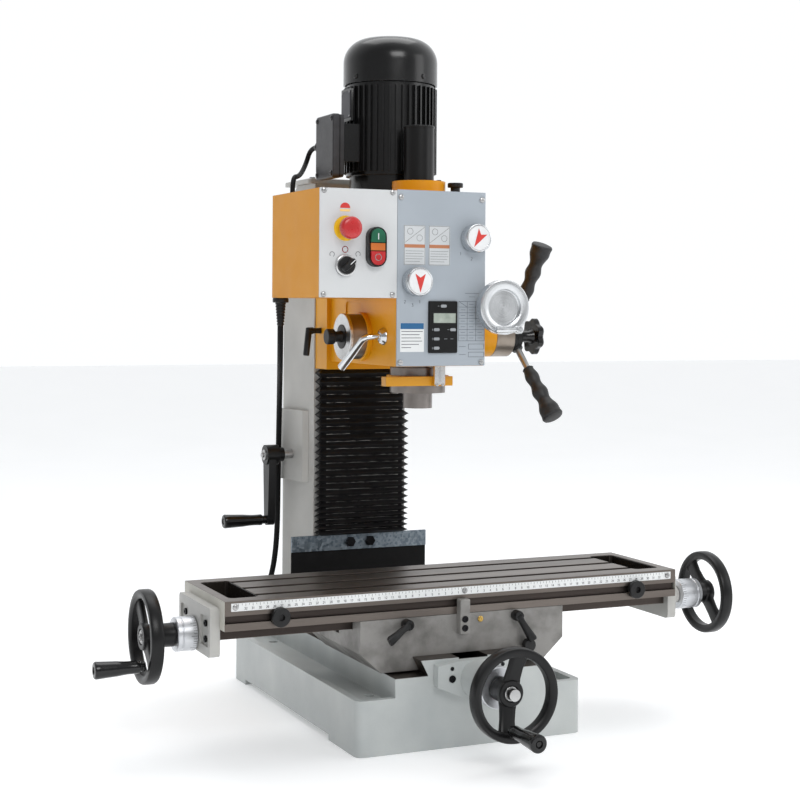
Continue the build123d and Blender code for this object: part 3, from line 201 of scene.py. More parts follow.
def turned_face(name, centre_x, centre_z):
    """Aluminium turned on a lathe about an axis that runs from front to back."""
    finish = Finish(name, 0.24, metallic=1.0)

    def calculate(operation, first, second=0.0):
        return finish.node("ShaderNodeMath", {0: first, 1: second}, operation=operation).outputs[0]

    where = finish.node("ShaderNodeTexCoord").outputs["Object"]
    split = finish.node("ShaderNodeSeparateXYZ", {"Vector": where})
    squares = []
    for output, middle in (("X", centre_x), ("Z", centre_z)):
        shift = calculate("SUBTRACT", split.outputs[output], middle)
        squares.append(calculate("MULTIPLY", shift, shift))
    radius = calculate("SQRT", calculate("ADD", *squares))
    inputs = {"Scale": 1600, "Detail": 3, "W": radius}
    ridges = finish.node("ShaderNodeTexNoise", inputs, noise_dimensions="1D").outputs["Fac"]
    finish.colour(ridges, (196, 198, 200), (232, 234, 236))
    finish.roughness(ridges, 0.16, 0.34)
    finish.bump(ridges, 0.00004, 0.5, 0.0006)
    finish.shader.inputs["Anisotropic"].default_value = 0.75
    around = finish.node("ShaderNodeTangent", direction_type="RADIAL", axis="Y")
    finish.link(around.outputs["Tangent"], "Tangent")


SMOOTH = {"coat": 0.0, "specular": 0.25, "rounding": 0.0008}
ALONG_X = (0.06, 1, 1)
paint("white", (172, 177, 177), (196, 200, 198), 0.42, 260, 0.0004)
paint("grey", (172, 171, 167), (195, 194, 190), 0.45, 320, 0.0003)
paint("orange", (214, 146, 6), (230, 162, 14), 0.36, 420, 0.0003, coat=0.05, specular=0.3)
paint("orange_sheet", (212, 140, 8), (220, 148, 14), 0.42, 900, 0.00006, **SMOOTH)
paint("panel_grey", (160, 168, 176), (170, 178, 186), 0.42, 900, 0.00004, rounding=0.0004)
paint("silver", (204, 206, 207), (214, 216, 217), 0.4, 900, 0.00003, rounding=0.0004)
paint("black_gloss", (8, 8, 9), (14, 14, 15), 0.2, 500, 0.00012, coat=0.35, specular=0.35)
paint("black_satin", (9, 9, 10), (16, 16, 17), 0.34, 700, 0.0001, coat=0.06, specular=0.3)
paint("clamp_yellow", (196, 136, 8), (212, 150, 16), 0.38, 600, 0.0001)
paint("end_paint", (176, 174, 164), (206, 204, 195), 0.5, 220, 0.0006)
# a dark glossy film that lines the floors and walls of the table's coolant pockets
paint("dark_glossy_film", (18, 15, 13), (52, 46, 40), 0.22, 160, 0.0012, coat=0.5)
printed("label_white", (224, 226, 226), (236, 238, 238))
printed("label_ink", (72, 74, 78), (92, 94, 98))
printed("label_blue", (26, 92, 140), (34, 104, 152), 0.45)
printed("label_panel", (196, 199, 201), (206, 209, 211), 0.45)
printed("label_brown", (176, 112, 76), (188, 124, 86))
moulded("black_plastic", (12, 12, 13), (20, 20, 21), 0.4, specular=0.4)
moulded("grip_plastic", (9, 9, 10), (15, 15, 16), 0.2, 300, 0.00004, coat=0.2, specular=0.4)
moulded("grip_rubber", (22, 22, 23), (38, 38, 39), 0.5, 500, 0.0001)
moulded("rubber", (8, 8, 9), (16, 16, 17), 0.6, 700, 0.0001, specular=0.2)
moulded("bellows_cloth", (15, 15, 16), (27, 27, 28), 0.5, 1400, 0.00008)
moulded("terminal_grey", (38, 38, 41), (52, 52, 56), 0.42)
moulded("key_grey", (140, 144, 148), (158, 162, 166), 0.45)
moulded("red", (176, 26, 30), (194, 40, 42), 0.28, 500, 0.00003, coat=0.4)
moulded("red_print", (206, 52, 46), (216, 62, 54), 0.5, 900, 0.00002)
moulded("yellow", (240, 190, 20), (246, 202, 34), 0.42, 700, 0.00003)
moulded("yellow_print", (250, 208, 120), (252, 216, 140), 0.5)
moulded("green", (8, 84, 58), (16, 98, 68), 0.3, 500, 0.00003, coat=0.3)
moulded("amber", (188, 98, 30), (204, 112, 42), 0.3, 500, 0.00003, coat=0.4)
moulded("white_plastic", (226, 227, 228), (238, 239, 240), 0.35, 500, 0.00003)
metal("machined", (98, 91, 86), (128, 120, 114), 0.36, 900, stretch=ALONG_X)
metal("machined_dark", (92, 86, 82), (124, 116, 110), 0.4, stretch=ALONG_X)
# painted shade: a dark iron colour that stands in for the shade on the table's rail front and in its front
# groove
metal("painted_shade_iron", (58, 52, 50), (82, 75, 71), 0.45, 500, stretch=ALONG_X)
metal("steel", (150, 150, 150), (196, 196, 196), 0.28, 900)
metal("satin_steel", (206, 208, 212), (230, 232, 235), 0.34, 900)
metal("bright_steel", (190, 190, 190), (222, 222, 222), 0.26, 1200)
metal("oiled_steel", (132, 122, 112), (164, 154, 144), 0.34, 900)
metal("dark_steel", (118, 112, 108), (152, 146, 142), 0.3, 900)
metal("plate_grey", (70, 70, 74), (88, 88, 92), 0.4)
metal("chrome", (206, 208, 210), (226, 228, 230), 0.08, 600, 0.00001)
metal("aluminium", (200, 202, 204), (226, 228, 230), 0.2, 1500)
metal("brass", (196, 160, 86), (222, 190, 116), 0.28)
metal("black_screw", (30, 30, 32), (48, 48, 50), 0.36)
rough_casting("raw_iron", (112, 110, 107), (148, 146, 143), 0.5)
galvanised()
screen_glass()
turned_face("turned_face", FINE_FEED_X * MM, FINE_FEED_Z * MM)

CAD_FINISHES = {
    "white": ["base_casting", "cross_feed_bracket"],
    "grey": ["column_casting", "z_crank_bracket", "table_brackets"],
    "orange": ["head_casting", "feed_housing"],
    "clamp_yellow": ["depth_clamp"],
    "orange_sheet": ["control_box"],
    "panel_grey": ["head_panel"],
    "silver": ["control_panel"],
    "raw_iron": ["saddle_casting"],
    "machined": ["table_casting"],
    "machined_dark": ["slide_gibs"],
    "steel": ["x_leadscrew", "y_leadscrew", "z_leadscrew", "z_crank_shaft", "x_dials", "y_dial",
              "motor_rotor", "gear_cluster", "drive_gear", "feed_hub"],
    "dark_steel": ["quill", "spindle"],
    "galvanised": ["way_cover_strip"],
    "rubber": ["way_cover_sheet", "bellows", "mains_cord", "mains_coil", "motor_cable"],
    "black_gloss": ["motor_body", "fan_cover"],
    "black_satin": ["x_handwheels", "y_handwheel", "z_crank", "drawbar_cover"],
    "terminal_grey": ["terminal_box"],
    "black_plastic": ["mains_plug", "mains_gland", "lock_lever_left", "lock_lever_right",
                      "saddle_lock_knob", "feed_grips", "feed_clutch_knob", "head_lock_lever",
                      "selector_knob"],
    "grip_plastic": ["x_wheel_grip", "y_wheel_grip", "z_crank_grip"],
    "bright_steel": ["spring_housing"],
    "aluminium": ["fine_feed_wheel"],
    "chrome": ["fine_feed_handle", "quill_lock_lever"],
    "white_plastic": ["speed_knob_upper", "speed_knob_lower"],
    "red": ["estop_button", "stop_button"],
    "green": ["start_button"],
}
for finish_name, members in CAD_FINISHES.items():
    for member in members:
        nodes[member].data.materials.clear()
        nodes[member].data.materials.append(mat[finish_name])


def bare_the_ways():
    """The ground ledges and dovetail of the base are bare iron; its ends and the rest are painted."""
    ledge_height = 0.1008
    end_facing = 0.9
    base = nodes["base_casting"]
    base.data.materials.append(mat["machined_dark"])
    for face in base.data.polygons:
        if (base.matrix_world @ face.center).z > ledge_height and abs(face.normal.y) < end_facing:
            face.material_index = 1


bare_the_ways()


# ---------------------------------------------------------------- camera and light
def make_camera():
    yaw = math.radians(24.378)
    pitch = math.radians(-0.040)
    roll = math.radians(0.367)
    forward = Vector((math.sin(yaw) * math.cos(pitch), math.cos(yaw) * math.cos(pitch), math.sin(pitch)))
    right = Vector((math.cos(yaw), -math.sin(yaw), 0))
    up = right.cross(forward)
    rolled_right = right * math.cos(roll) + up * math.sin(roll)
    rolled_up = up * math.cos(roll) - right * math.sin(roll)
    data = bpy.data.cameras.new("camera")
    data.lens = 71.92
    data.sensor_width = 36
    data.shift_y = -0.1118
    data.clip_end = 50
    camera = bpy.data.objects.new("camera", data)
    camera.matrix_world = Matrix.Translation(mm(-1000.738, -2213.98, 598.196)) @ Matrix(
        (rolled_right, rolled_up, -forward)
    ).transposed().to_4x4()
    bpy.context.scene.collection.objects.link(camera)
    bpy.context.scene.camera = camera


def make_light(name, place, target, size, power):
    data = bpy.data.lights.new(name, "AREA")
    data.shape = "RECTANGLE"
    data.size, data.size_y = size
    data.energy = power
    lamp = bpy.data.objects.new(name, data)
    lamp.location = place
    lamp.rotation_euler = (Vector(target) - Vector(place)).to_track_quat("-Z", "Y").to_euler()
    bpy.context.scene.collection.objects.link(lamp)


def make_studio():
    bpy.context.scene.view_settings.view_transform = "Standard"
    world = bpy.data.worlds.new("studio")
    bpy.context.scene.world = world
    world.use_nodes = True
    tree = world.node_tree
    background = tree.nodes["Background"]
    background.inputs["Color"].default_value = (0.97, 0.985, 1.0, 1)
    # the room is bright behind the machine and dimmer in front of it
    direction = add_node(tree, "ShaderNodeTexCoord").outputs["Generated"]
    inputs = {0: direction, 1: (0.6, 0.8, 0)}
    backward = add_node(tree, "ShaderNodeVectorMath", inputs, operation="DOT_PRODUCT")
    span = {"From Min": -0.6, "From Max": 0.55, "To Min": 0.34, "To Max": 1.03}
    fade = add_node(tree, "ShaderNodeMapRange", {"Value": backward.outputs["Value"], **span})
    tree.links.new(fade.outputs["Result"], background.inputs["Strength"])
    make_light("key", (-0.3, -3.3, 2.6), (0, 0, 0.45), (1.8, 1.4), 46)
    make_light("fill", (2.6, -2.0, 1.6), (0, 0, 0.4), (1.4, 1.6), 10)
    make_light("top", (0.2, 0.6, 3.0), (0, 0, 0.4), (2.2, 1.6), 22)
    reach = 14.0
    corners = [(-reach, -reach, 0), (reach, -reach, 0), (reach, reach, 0), (-reach, reach, 0)]
    floor_mesh = bpy.data.meshes.new("floor")
    floor_mesh.from_pydata(corners, [], [(0, 1, 2, 3)])
    floor = bpy.data.objects.new("floor", floor_mesh)
    bpy.context.scene.collection.objects.link(floor)
    surface = Finish("floor_surface", 0.7)
    surface.colour(surface.noise(3, 2), (246, 247, 248), (250, 251, 252))
    surface.shader.inputs["Emission Color"].default_value = (1, 1, 1, 1)
    surface.shader.inputs["Emission Strength"].default_value = 0.24
    floor.data.materials.append(surface.material)


make_camera()
make_studio()


# ---------------------------------------------------------------- shared mesh helpers
def add_piece(name, bm, body, finish, node=None, crease=35):
    """Put a built mesh in the scene, in place of a CAD node; one that spans two bodies rides on none."""
    bmesh.ops.recalc_face_normals(bm, faces=bm.faces)
    mesh = bpy.data.meshes.new(name)
    bm.to_mesh(mesh)
    bm.free()
    mesh.validate()
    for polygon in mesh.polygons:
        polygon.use_smooth = True
    mesh.set_sharp_from_angle(angle=math.radians(crease))
    mesh.materials.append(mat[finish])
    piece = bpy.data.objects.new(name, mesh)
    bpy.context.scene.collection.objects.link(piece)
    if body:
        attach(piece, body)
    if node:
        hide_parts(node)
    return piece


def bridge(bm, rings, capped=True):
    """Join each ring of vertices to the next, and close the first and the last."""
    for low, high in zip(rings, rings[1:]):
        for step in range(len(low)):
            following = (step + 1) % len(low)
            bm.faces.new([low[step], low[following], high[following], high[step]])
    if capped:
        bm.faces.new(rings[0][::-1])
        bm.faces.new(rings[-1])


def axes_of(direction):
    """Two unit vectors that make a right-handed frame with the direction."""
    direction = Vector(direction).normalized()
    guide = Z_AXIS if abs(direction.z) < 0.9 else Y_AXIS
    first = guide.cross(direction).normalized()
    return first, direction.cross(first), direction


def circle(bm, centre, first, second, radius, count):
    verts = []
    for step in range(count):
        turn = 2 * math.pi * step / count
        verts.append(bm.verts.new(centre + (first * math.cos(turn) + second * math.sin(turn)) * radius))
    return verts


def lathe_into(bm, profile, at, axis, segments):
    """Turn a profile of (radius, height) pairs in mm around the axis."""
    first, second, along = axes_of(axis)
    rings = []
    for radius, height in profile:
        centre = Vector(at) + along * height * MM
        if radius < 1e-6:
            rings.append([bm.verts.new(centre)])
            continue
        rings.append(circle(bm, centre, first, second, radius * MM, segments))
    for low, high in zip(rings, rings[1:]):
        for step in range(segments):
            following = (step + 1) % segments
            corners = [low[step % len(low)], low[following % len(low)], high[following % len(high)],
                       high[step % len(high)]]
            unique = list(dict.fromkeys(corners))
            if len(unique) > 2:
                bm.faces.new(unique)


def lathe(name, profile, at, axis, body, finish, segments=64, node=None, closed_ring=False, crease=35):
    """A turned piece; a closed ring's profile ends where it starts and never reaches the axis."""
    bm = bmesh.new()
    if closed_ring:
        profile = profile + profile[:1]
    lathe_into(bm, profile, at, axis, segments)
    bmesh.ops.remove_doubles(bm, verts=bm.verts, dist=1e-6)
    return add_piece(name, bm, body, finish, node, crease)


def slab_into(bm, outline, origin, across, upward, depth, edge):
    """A flat outline in mm, thickened along across x upward, with a small bevel on its far rim."""
    across, upward = Vector(across), Vector(upward)
    out = across.cross(upward)
    outline = [Vector(point).to_2d() for point in outline]
    centre = sum(outline, Vector((0, 0))) / len(outline)
    rings = []
    for inset, height in ((0, 0), (0, depth - edge), (edge, depth)):
        ring = []
        for point in outline:
            flat = point - (point - centre).normalized() * inset
            ring.append(bm.verts.new(origin + (across * flat.x + upward * flat.y + out * height) * MM))
        rings.append(ring)
    bridge(bm, rings)


def rounded_outline(width, height, radius, steps=5):
    """The corners of a rectangle with round corners, anticlockwise, about its middle."""
    points = []
    for corner, (sx, sy) in enumerate(((1, 1), (-1, 1), (-1, -1), (1, -1))):
        for step in range(steps + 1):
            turn = math.pi / 2 * (corner + step / steps)
            points.append((sx * (width / 2 - radius) + radius * math.cos(turn),
                           sy * (height / 2 - radius) + radius * math.sin(turn)))
    return points


def slab(name, outline, origin, across, upward, depth, body, finish, edge=0.3, node=None):
    bm = bmesh.new()
    slab_into(bm, outline, origin, across, upward, depth, edge)
    return add_piece(name, bm, body, finish, node)


def front_slab(name, x, z, width, height, depth, body, finish, y=PANEL_Y, radius=1.0, edge=0.3):
    """A plate or label on a face that looks at the operator."""
    outline = rounded_outline(width, height, radius)
    return slab(name, outline, mm(x, y, z), X_AXIS, Z_AXIS, depth, body, finish, edge)


def loft_into(bm, sections, power=3.0, around=24):
    """A solid through sections (centre, half-vector u, half-vector v) with rounded-square outlines."""
    rings = []
    for centre, u, v in sections:
        ring = []
        for step in range(around):
            turn = 2 * math.pi * step / around
            c, s = math.cos(turn), math.sin(turn)
            size = (abs(c) ** power + abs(s) ** power) ** (-1 / power)
            ring.append(bm.verts.new(centre + u * c * size + v * s * size))
        rings.append(ring)
    bridge(bm, rings)


def smooth_points(name, points):
    """Points along the open NURBS spline with these control points."""
    data = bpy.data.curves.new(name, "CURVE")
    data.dimensions = "3D"
    data.resolution_u = 16
    spline = data.splines.new("NURBS")
    spline.points.add(len(points) - 1)
    for point, place in zip(spline.points, points):
        point.co = (*place, 1)
    spline.order_u = 3
    spline.use_endpoint_u = True
    carrier = bpy.data.objects.new(name, data)
    bpy.context.scene.collection.objects.link(carrier)
    bpy.context.view_layer.update()
    line = bpy.data.meshes.new_from_object(carrier)
    found = [vertex.co.copy() for vertex in line.vertices]
    bpy.data.objects.remove(carrier)
    bpy.data.meshes.remove(line)
    return found


def tube_into(bm, points, radius, around=16):
    """A round tube along the points, closed by flat ends; radius is one number or one for each point."""
    radii = radius if hasattr(radius, "__len__") else [radius] * len(points)
    direction = (points[1] - points[0]).normalized()
    side = axes_of(direction)[0]
    rings = []
    for index, point in enumerate(points):
        before = points[max(index - 1, 0)]
        after = points[min(index + 1, len(points) - 1)]
        new_direction = (after - before).normalized()
        side = (side - new_direction * side.dot(new_direction)).normalized()
        other = new_direction.cross(side)
        rings.append(circle(bm, point, side, other, radii[index], around))
    bridge(bm, rings)


# ---------------------------------------------------------------- cords
MAINS_ROUTE = [
    mm(-179, 31, 610), mm(-179, 31, 543), mm(-112, 216, 462), mm(-106, 237, 356), mm(-106, 240, 190),
    mm(-124, 262, 115), mm(-124, 290, 45), mm(-106, 352, 12), mm(-46, 372, 12),
]
LEAD_RADIUS = 4.5
COIL_X, COIL_Y = 21.0, 374.0
COIL_TURNS = [(54, 20.1), (58.5, 12.3), (49.5, 12.3), (45, 4.5), (54, 4.5), (63, 4.5)]
POINTS_PER_TURN = 16
COIL_START = 165.0


def coil_route():
    """Control points of the turns, wound clockwise from the top layer down and out to the floor."""
    points = []
    last_step = POINTS_PER_TURN * 5 + 6
    for step in range(last_step + 1):
        turn, part = divmod(step, POINTS_PER_TURN)
        radius, height = COIL_TURNS[turn]
        if turn + 1 < len(COIL_TURNS):
            shift = max(0.0, part / POINTS_PER_TURN - 0.7) / 0.3
            radius += (COIL_TURNS[turn + 1][0] - radius) * shift
            height += (COIL_TURNS[turn + 1][1] - height) * shift
        angle = math.radians(COIL_START - 360 * step / POINTS_PER_TURN)
        reach = radius * 1.015
        points.append(mm(COIL_X + reach * math.cos(angle), COIL_Y + reach * math.sin(angle), height))
    return points


def make_mains_lead():
    end = [mm(84.5, 372, 8), mm(84.5, 352, 13), mm(84.5, 338, 13)]
    route = MAINS_ROUTE[:-2] + [mm(-106, 352, 15), mm(-66, 370, 20)] + coil_route() + end
    path = smooth_points("mains_line", route)
    bm = bmesh.new()
    tube_into(bm, path, LEAD_RADIUS * MM, 14)
    lead = add_piece("mains_lead", bm, None, "rubber", crease=80)
    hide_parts("mains_cord", "mains_coil")
    plug = make_plug()
    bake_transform(lead)


def make_plug():
    """A moulded two-pin plug with a ribbed tail where the lead goes in."""
    bm = bmesh.new()
    tail = [(36, 6.6), (33, 6.8), (32, 5.8), (29, 7.0), (28, 6.0), (25, 7.3), (24, 6.4), (21, 7.8)]
    lathe_into(bm, [(0, 36)] + [(radius, along) for along, radius in tail] + [(8.6, 19), (0, 18.8)],
               mm(84.5, 309.5, 13), Y_AXIS, 24)
    sections = []
    for along, half_width, half_height in (
        (22, 9, 8), (18, 11.5, 9.6), (8, 14.5, 11.6), (-6, 17, 12.6), (-14, 17.6, 12.8), (-19.5, 17.2, 12.6),
        (-21.8, 16, 11.6),
    ):
        sections.append((mm(84.5, 306.5 + along, 13), X_AXIS * half_width * MM, Z_AXIS * half_height * MM))
    loft_into(bm, sections, 3.4, 32)
    for side in (-9.5, 9.5):
        lathe_into(bm, [(0, 0), (2.4, 0), (2.4, 17.5), (1.6, 18.8), (0, 19)],
                   mm(84.5 + side, 285.5, 13), FRONT, 16)
    return add_piece("plug", bm, "base", "black_plastic", "mains_plug", 50)


def make_motor_cable():
    route = [
        mm(-103, 70, 846.3), mm(-102, 108, 850), mm(-108, 116, 822), mm(-134, 74, 800), mm(-160, 36, 796),
        mm(-160, 34, 765),
    ]
    path = smooth_points("motor_cable_line", route)
    bm = bmesh.new()
    tube_into(bm, path, 3.75 * MM, 14)
    cable = add_piece("motor_lead", bm, "head", "rubber", "motor_cable", 80)


def make_strain_relief():
    """The nut and the tapered, ribbed sleeve where the mains lead leaves the control box."""
    nut = [(0, 0), (11, 0), (12, 1), (12, 6), (11, 7), (8, 7)]
    ribs = []
    for step in range(8):
        height = 7 + step * 4.4
        radius = 8 - step * 0.38
        valley = radius - 1.1
        ribs += [(radius, height), (radius, height + 2.6), (valley, height + 3.0), (valley, height + 4.2)]
    lathe("mains_strain_relief", nut + ribs + [(4.6, 42.5), (0, 42.5)], mm(-179, 31, 614.2), -Z_AXIS, "head",
          "black_plastic", 32, "mains_gland", crease=40)


make_mains_lead()
make_motor_cable()
make_strain_relief()


# ---------------------------------------------------------------- small parts
SCREW_HEADS = {
    "socket": (24, [(0, 0), (1, 0), (1, 0.86), (0.9, 1), (0.52, 1), (0.5, 0.35), (0, 0.3)]),
    "hexagon": (6, [(0, 0), (1, 0), (1, 0.8), (0.86, 1), (0, 1)]),
    "dome": (20, [(0, 0), (1, 0), (1, 0.3), (0.84, 0.72), (0.5, 0.95), (0.22, 1), (0.16, 0.55), (0, 0.5)]),
}


def screws(name, places, axis, radius, height, body, finish="black_screw", kind="socket"):
    """A row of equal screw heads: with a hexagon socket, a plain hexagon, or a dome with a dimple."""
    segments, shape = SCREW_HEADS[kind]
    bm = bmesh.new()
    for place in places:
        lathe_into(bm, [(r * radius, h * height) for r, h in shape], place, axis, segments)
    add_piece(name, bm, body, finish, crease=30)


def ring_points(centre, radius, count, start):
    """Points evenly round a vertical axis."""
    turns = [start + 2 * math.pi * k / count for k in range(count)]
    return [centre + (X_AXIS * math.cos(turn) + Y_AXIS * math.sin(turn)) * radius * MM for turn in turns]


def marks(name, strokes, y, thickness, body, finish, depth=0.25):
    """Flat printed strokes on a face that looks at the operator, each a run of points."""
    bm = bmesh.new()
    for stroke in strokes:
        for start, end in zip(stroke, stroke[1:]):
            start, end = Vector(start), Vector(end)
            along = (end - start).normalized() * thickness
            side = Vector((-along.y, along.x)) / 2
            reach = along * 0.3
            corners = [start - side - reach, end - side + reach, end + side + reach, start + side - reach]
            bridge(bm, [[bm.verts.new(mm(c.x, y - height, c.y)) for c in corners] for height in (0, depth)])
    return add_piece(name, bm, body, finish)


def arc(x, z, radius, start, end, steps=16):
    turns = [math.radians(start + (end - start) * k / steps) for k in range(steps + 1)]
    return [(x + radius * math.cos(turn), z + radius * math.sin(turn)) for turn in turns]


DIGIT_SHAPES = {
    "0": [[(0, 0), (1, 0), (1, 2), (0, 2), (0, 0)]],
    "1": [[(0.2, 1.6), (0.6, 2), (0.6, 0)]],
    "2": [[(0, 2), (1, 2), (1, 1.1), (0, 0), (1, 0)]],
    "3": [[(0, 2), (1, 2), (0.5, 1.1), (1, 0.9), (1, 0), (0, 0)]],
    "4": [[(0.8, 0), (0.8, 2), (0, 0.6), (1, 0.6)]],
    "5": [[(1, 2), (0, 2), (0, 1.1), (1, 1.1), (1, 0), (0, 0)]],
    "6": [[(1, 2), (0, 2), (0, 0), (1, 0), (1, 1), (0, 1)]],
    "7": [[(0, 2), (1, 2), (0.3, 0)]],
    "8": [[(0, 0), (1, 0), (1, 2), (0, 2), (0, 0)], [(0, 1), (1, 1)]],
    "9": [[(1, 1), (0, 1), (0, 2), (1, 2), (1, 0), (0, 0)]],
}


def digit_strokes(text, x, z, size):
    """Strokes for a number, centred on x and z; size is half a digit's height."""
    strokes = []
    advance = size * 1.6
    left = x - (len(text) * advance - size * 0.6) / 2
    for index, figure in enumerate(text):
        for stroke in DIGIT_SHAPES[figure]:
            strokes.append([(left + index * advance + px * size, z - size + pz * size) for px, pz in stroke])
    return strokes


# ---------------------------------------------------------------- column
def make_column_details():
    bm = bmesh.new()
    slab_into(bm, rounded_outline(183, 111, 6), mm(0, 200, 797.2), X_AXIS, Y_AXIS, 7.5, 1.5)
    add_piece("column_cap_plate", bm, "base", "grey")
    cap = [mm(x, y, 804.6) for x in (-80, 80) for y in (158, 240)]
    screws("column_cap_screws", cap, Z_AXIS, 5, 3, "base", "steel")
    cover = [mm(x, 144, 227) for x in (-17, 17)]
    screws("way_cover_bolts", cover, FRONT, 8.2, 5.6, "base", kind="hexagon")
    foot = [mm(x, y, 125) for x in (-101, 101) for y in (160, 240)]
    screws("column_foot_bolts", foot, Z_AXIS, 6.5, 8, "base")


def make_bellows():
    """A folded cover: three zigzag faces whose folds are opener at the top than at the bottom."""
    low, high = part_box("bellows")
    folds = 24
    pitches = [8.2 + 5.6 * k / (folds - 1) for k in range(folds)]
    scale = (high.z - low.z) * 1000 / sum(pitches)
    bm = bmesh.new()
    rows = []
    height = low.z * 1000
    front, back = low.y * 1000, high.y * 1000
    half = high.x * 1000
    dip = 8.5
    for k, pitch in enumerate(pitches + [0]):
        rows.append((height, 1.0))
        if pitch:
            rows.append((height + pitch * scale * 0.5, 0.0))
            height += pitch * scale
    across_steps = 26
    mesh_rows = []
    for row, (z, valley) in enumerate(rows):
        inset = dip * valley
        wobble = [random.uniform(-0.35, 0.35) for _ in range(across_steps + 1)]
        lean = random.uniform(-0.5, 0.5)
        points = [(-half + inset, back, z)]
        points.append((-half + inset, (front + back) / 2 + inset / 2, z + lean))
        for step in range(across_steps + 1):
            part = step / across_steps
            x = (-half + inset) + 2 * (half - inset) * part
            edge = min(part, 1 - part)
            soften = min(1.0, edge * 12)
            y = front + inset + (1 - soften) * 1.6
            points.append((x, y + wobble[step] * 0.6, z + wobble[step] * soften + lean * (part - 0.5)))
        points.append((half - inset, (front + back) / 2 + inset / 2, z - lean))
        points.append((half - inset, back, z))
        if row in (0, len(rows) - 1):
            points = [(x, y, z) for x, y, _ in points]
        inside = [mm(min(max(x, -half), half), max(y, front), height) for x, y, height in points]
        mesh_rows.append([bm.verts.new(place) for place in inside])
    for lower, upper in zip(mesh_rows, mesh_rows[1:]):
        for step in range(len(lower) - 1):
            bm.faces.new([lower[step], lower[step + 1], upper[step + 1], upper[step]])
        bm.faces.new([lower[-1], lower[0], upper[0], upper[-1]])
    bm.faces.new(mesh_rows[0][::-1])
    bm.faces.new(mesh_rows[-1])
    cover = add_piece("way_bellows", bm, None, "bellows_cloth", "bellows", 20)
    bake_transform(cover)


make_column_details()
make_bellows()


# ---------------------------------------------------------------- wheels, dials and grips
def wheel_rim_profile(outer, wide, thick):
    """A wheel rim's section: round corners, a little fuller outside than inside."""
    half = wide / 2
    inner = outer - thick
    return [(outer, 3 - half), (outer - 1.2, 0.8 - half), (outer - 4, -half), (inner + 3, 0.6 - half),
            (inner, 3 - half), (inner - 0.6, 0), (inner, half - 3), (inner + 3, half - 0.6),
            (outer - 4, half), (outer - 1.2, half - 0.8), (outer, half - 3), (outer + 0.2, 0)]


def make_wheel(name, centre, axis, grip_way, body, node, hub_back, hub_front=7.0, dish=0.0):
    """A two-spoke hand wheel; the axis points away from the machine, grip_way towards its grip."""
    outer = 62.5
    hub = 16.0
    step_back = hub_front - 9
    sideways = axis.cross(grip_way)
    bm = bmesh.new()
    rim = wheel_rim_profile(outer, 18.0, 12.0)
    lathe_into(bm, rim + rim[:1], centre, axis, 96)
    bmesh.ops.remove_doubles(bm, verts=bm.verts, dist=1e-6)
    lathe_into(bm, [(0, -hub_back), (hub, -hub_back), (hub, 4 - hub_back), (hub - 0.8, step_back - 4),
                    (hub + 2, step_back), (hub + 2, hub_front - 1.5), (hub + 0.6, hub_front), (11, hub_front),
                    (10.4, hub_front - 2.2), (0, hub_front - 2.4)], centre, axis, 48)
    for way in (1, -1):
        sections = []
        for part, half_width, half_depth, sink in (
            (0.12, 14, 4.6, 0.5), (0.35, 11.5, 4.2, -0.6), (0.6, 10.8, 4.0, -1.0), (0.85, 12, 4.3, -0.6),
            (0.96, 14.5, 4.8, 0),
        ):
            outward = grip_way * way * (outer - 5) * part
            middle = centre + (outward + axis * (sink + dish * (1 - part))) * MM
            sections.append((middle, sideways * half_width * MM, axis * half_depth * MM))
        loft_into(bm, sections, 4.5, 24)
    add_piece(name, bm, body, "black_satin", node, 40)
    washer = [(0, 0), (9.6, 0), (9.6, 1.4), (9, 1.8), (4.6, 1.8), (4.6, 3.6), (3.8, 4.2), (2.4, 4.2),
              (2.2, 1.6), (0, 1.4)]
    lathe(name + "_washer", washer, centre + axis * (hub_front - 2.4) * MM, axis, body, "steel", 32)


def make_grip(name, root, axis, length, body, node, largest=11.5):
    """A revolving handle: a collar at the wheel, a waist, and a thicker outer end with a dimple."""
    profile = [(0, 0), (6.2, 0), (6.6, 0.6), (6.6, 5), (5.4, 5.6), (5.4, 7), (8.4, 7.6), (8.8, 9)]
    for step in range(1, 13):
        part = step / 12
        waist = 0.7 * math.sin(math.pi * min(1, part * 2))
        profile.append((8.8 - waist + (largest - 8.8) * part ** 1.3, 9 + (length - 12) * part))
    profile += [(largest - 0.3, length - 1.6), (largest - 1.4, length - 0.4), (largest - 3, length),
                (5.2, length), (4.4, length - 2.4), (3.2, length - 2.8), (3.2, length - 1.2),
                (0, length - 1.2)]
    lathe(name, profile, root, axis, body, "grip_plastic", 40, node, crease=30)


def make_dial(name, start, axis, radius, length, body, node, divisions=40):
    """A graduated drum: a ring set off by a groove at the wheel's side and a band of engraved lines."""
    first, second, _ = axes_of(axis)
    low = radius - 0.8
    profile = [(0, 0), (radius - 1, 0), (radius, 1), (radius, length - 9), (low, length - 8.4),
               (low, length - 7.4), (radius, length - 6.8), (radius, length - 1.2), (radius - 1.2, length),
               (0, length)]
    lathe(name, profile, start, axis, body, "satin_steel", 72, node, crease=30)
    bm = bmesh.new()
    for k in range(divisions):
        turn = 2 * math.pi * k / divisions
        out = first * math.cos(turn) + second * math.sin(turn)
        side = axis.cross(out)
        reach = 9.7 if k % 5 == 0 else 6.2
        corners = ((1.2, -0.28), (reach, -0.28), (reach, 0.28), (1.2, 0.28))
        bridge(bm, [[bm.verts.new(start + (axis * along + out * height + side * across) * MM)
                     for along, across in corners] for height in (radius - 0.34, radius + 0.06)])
    add_piece(name + "_lines", bm, body, "label_ink")


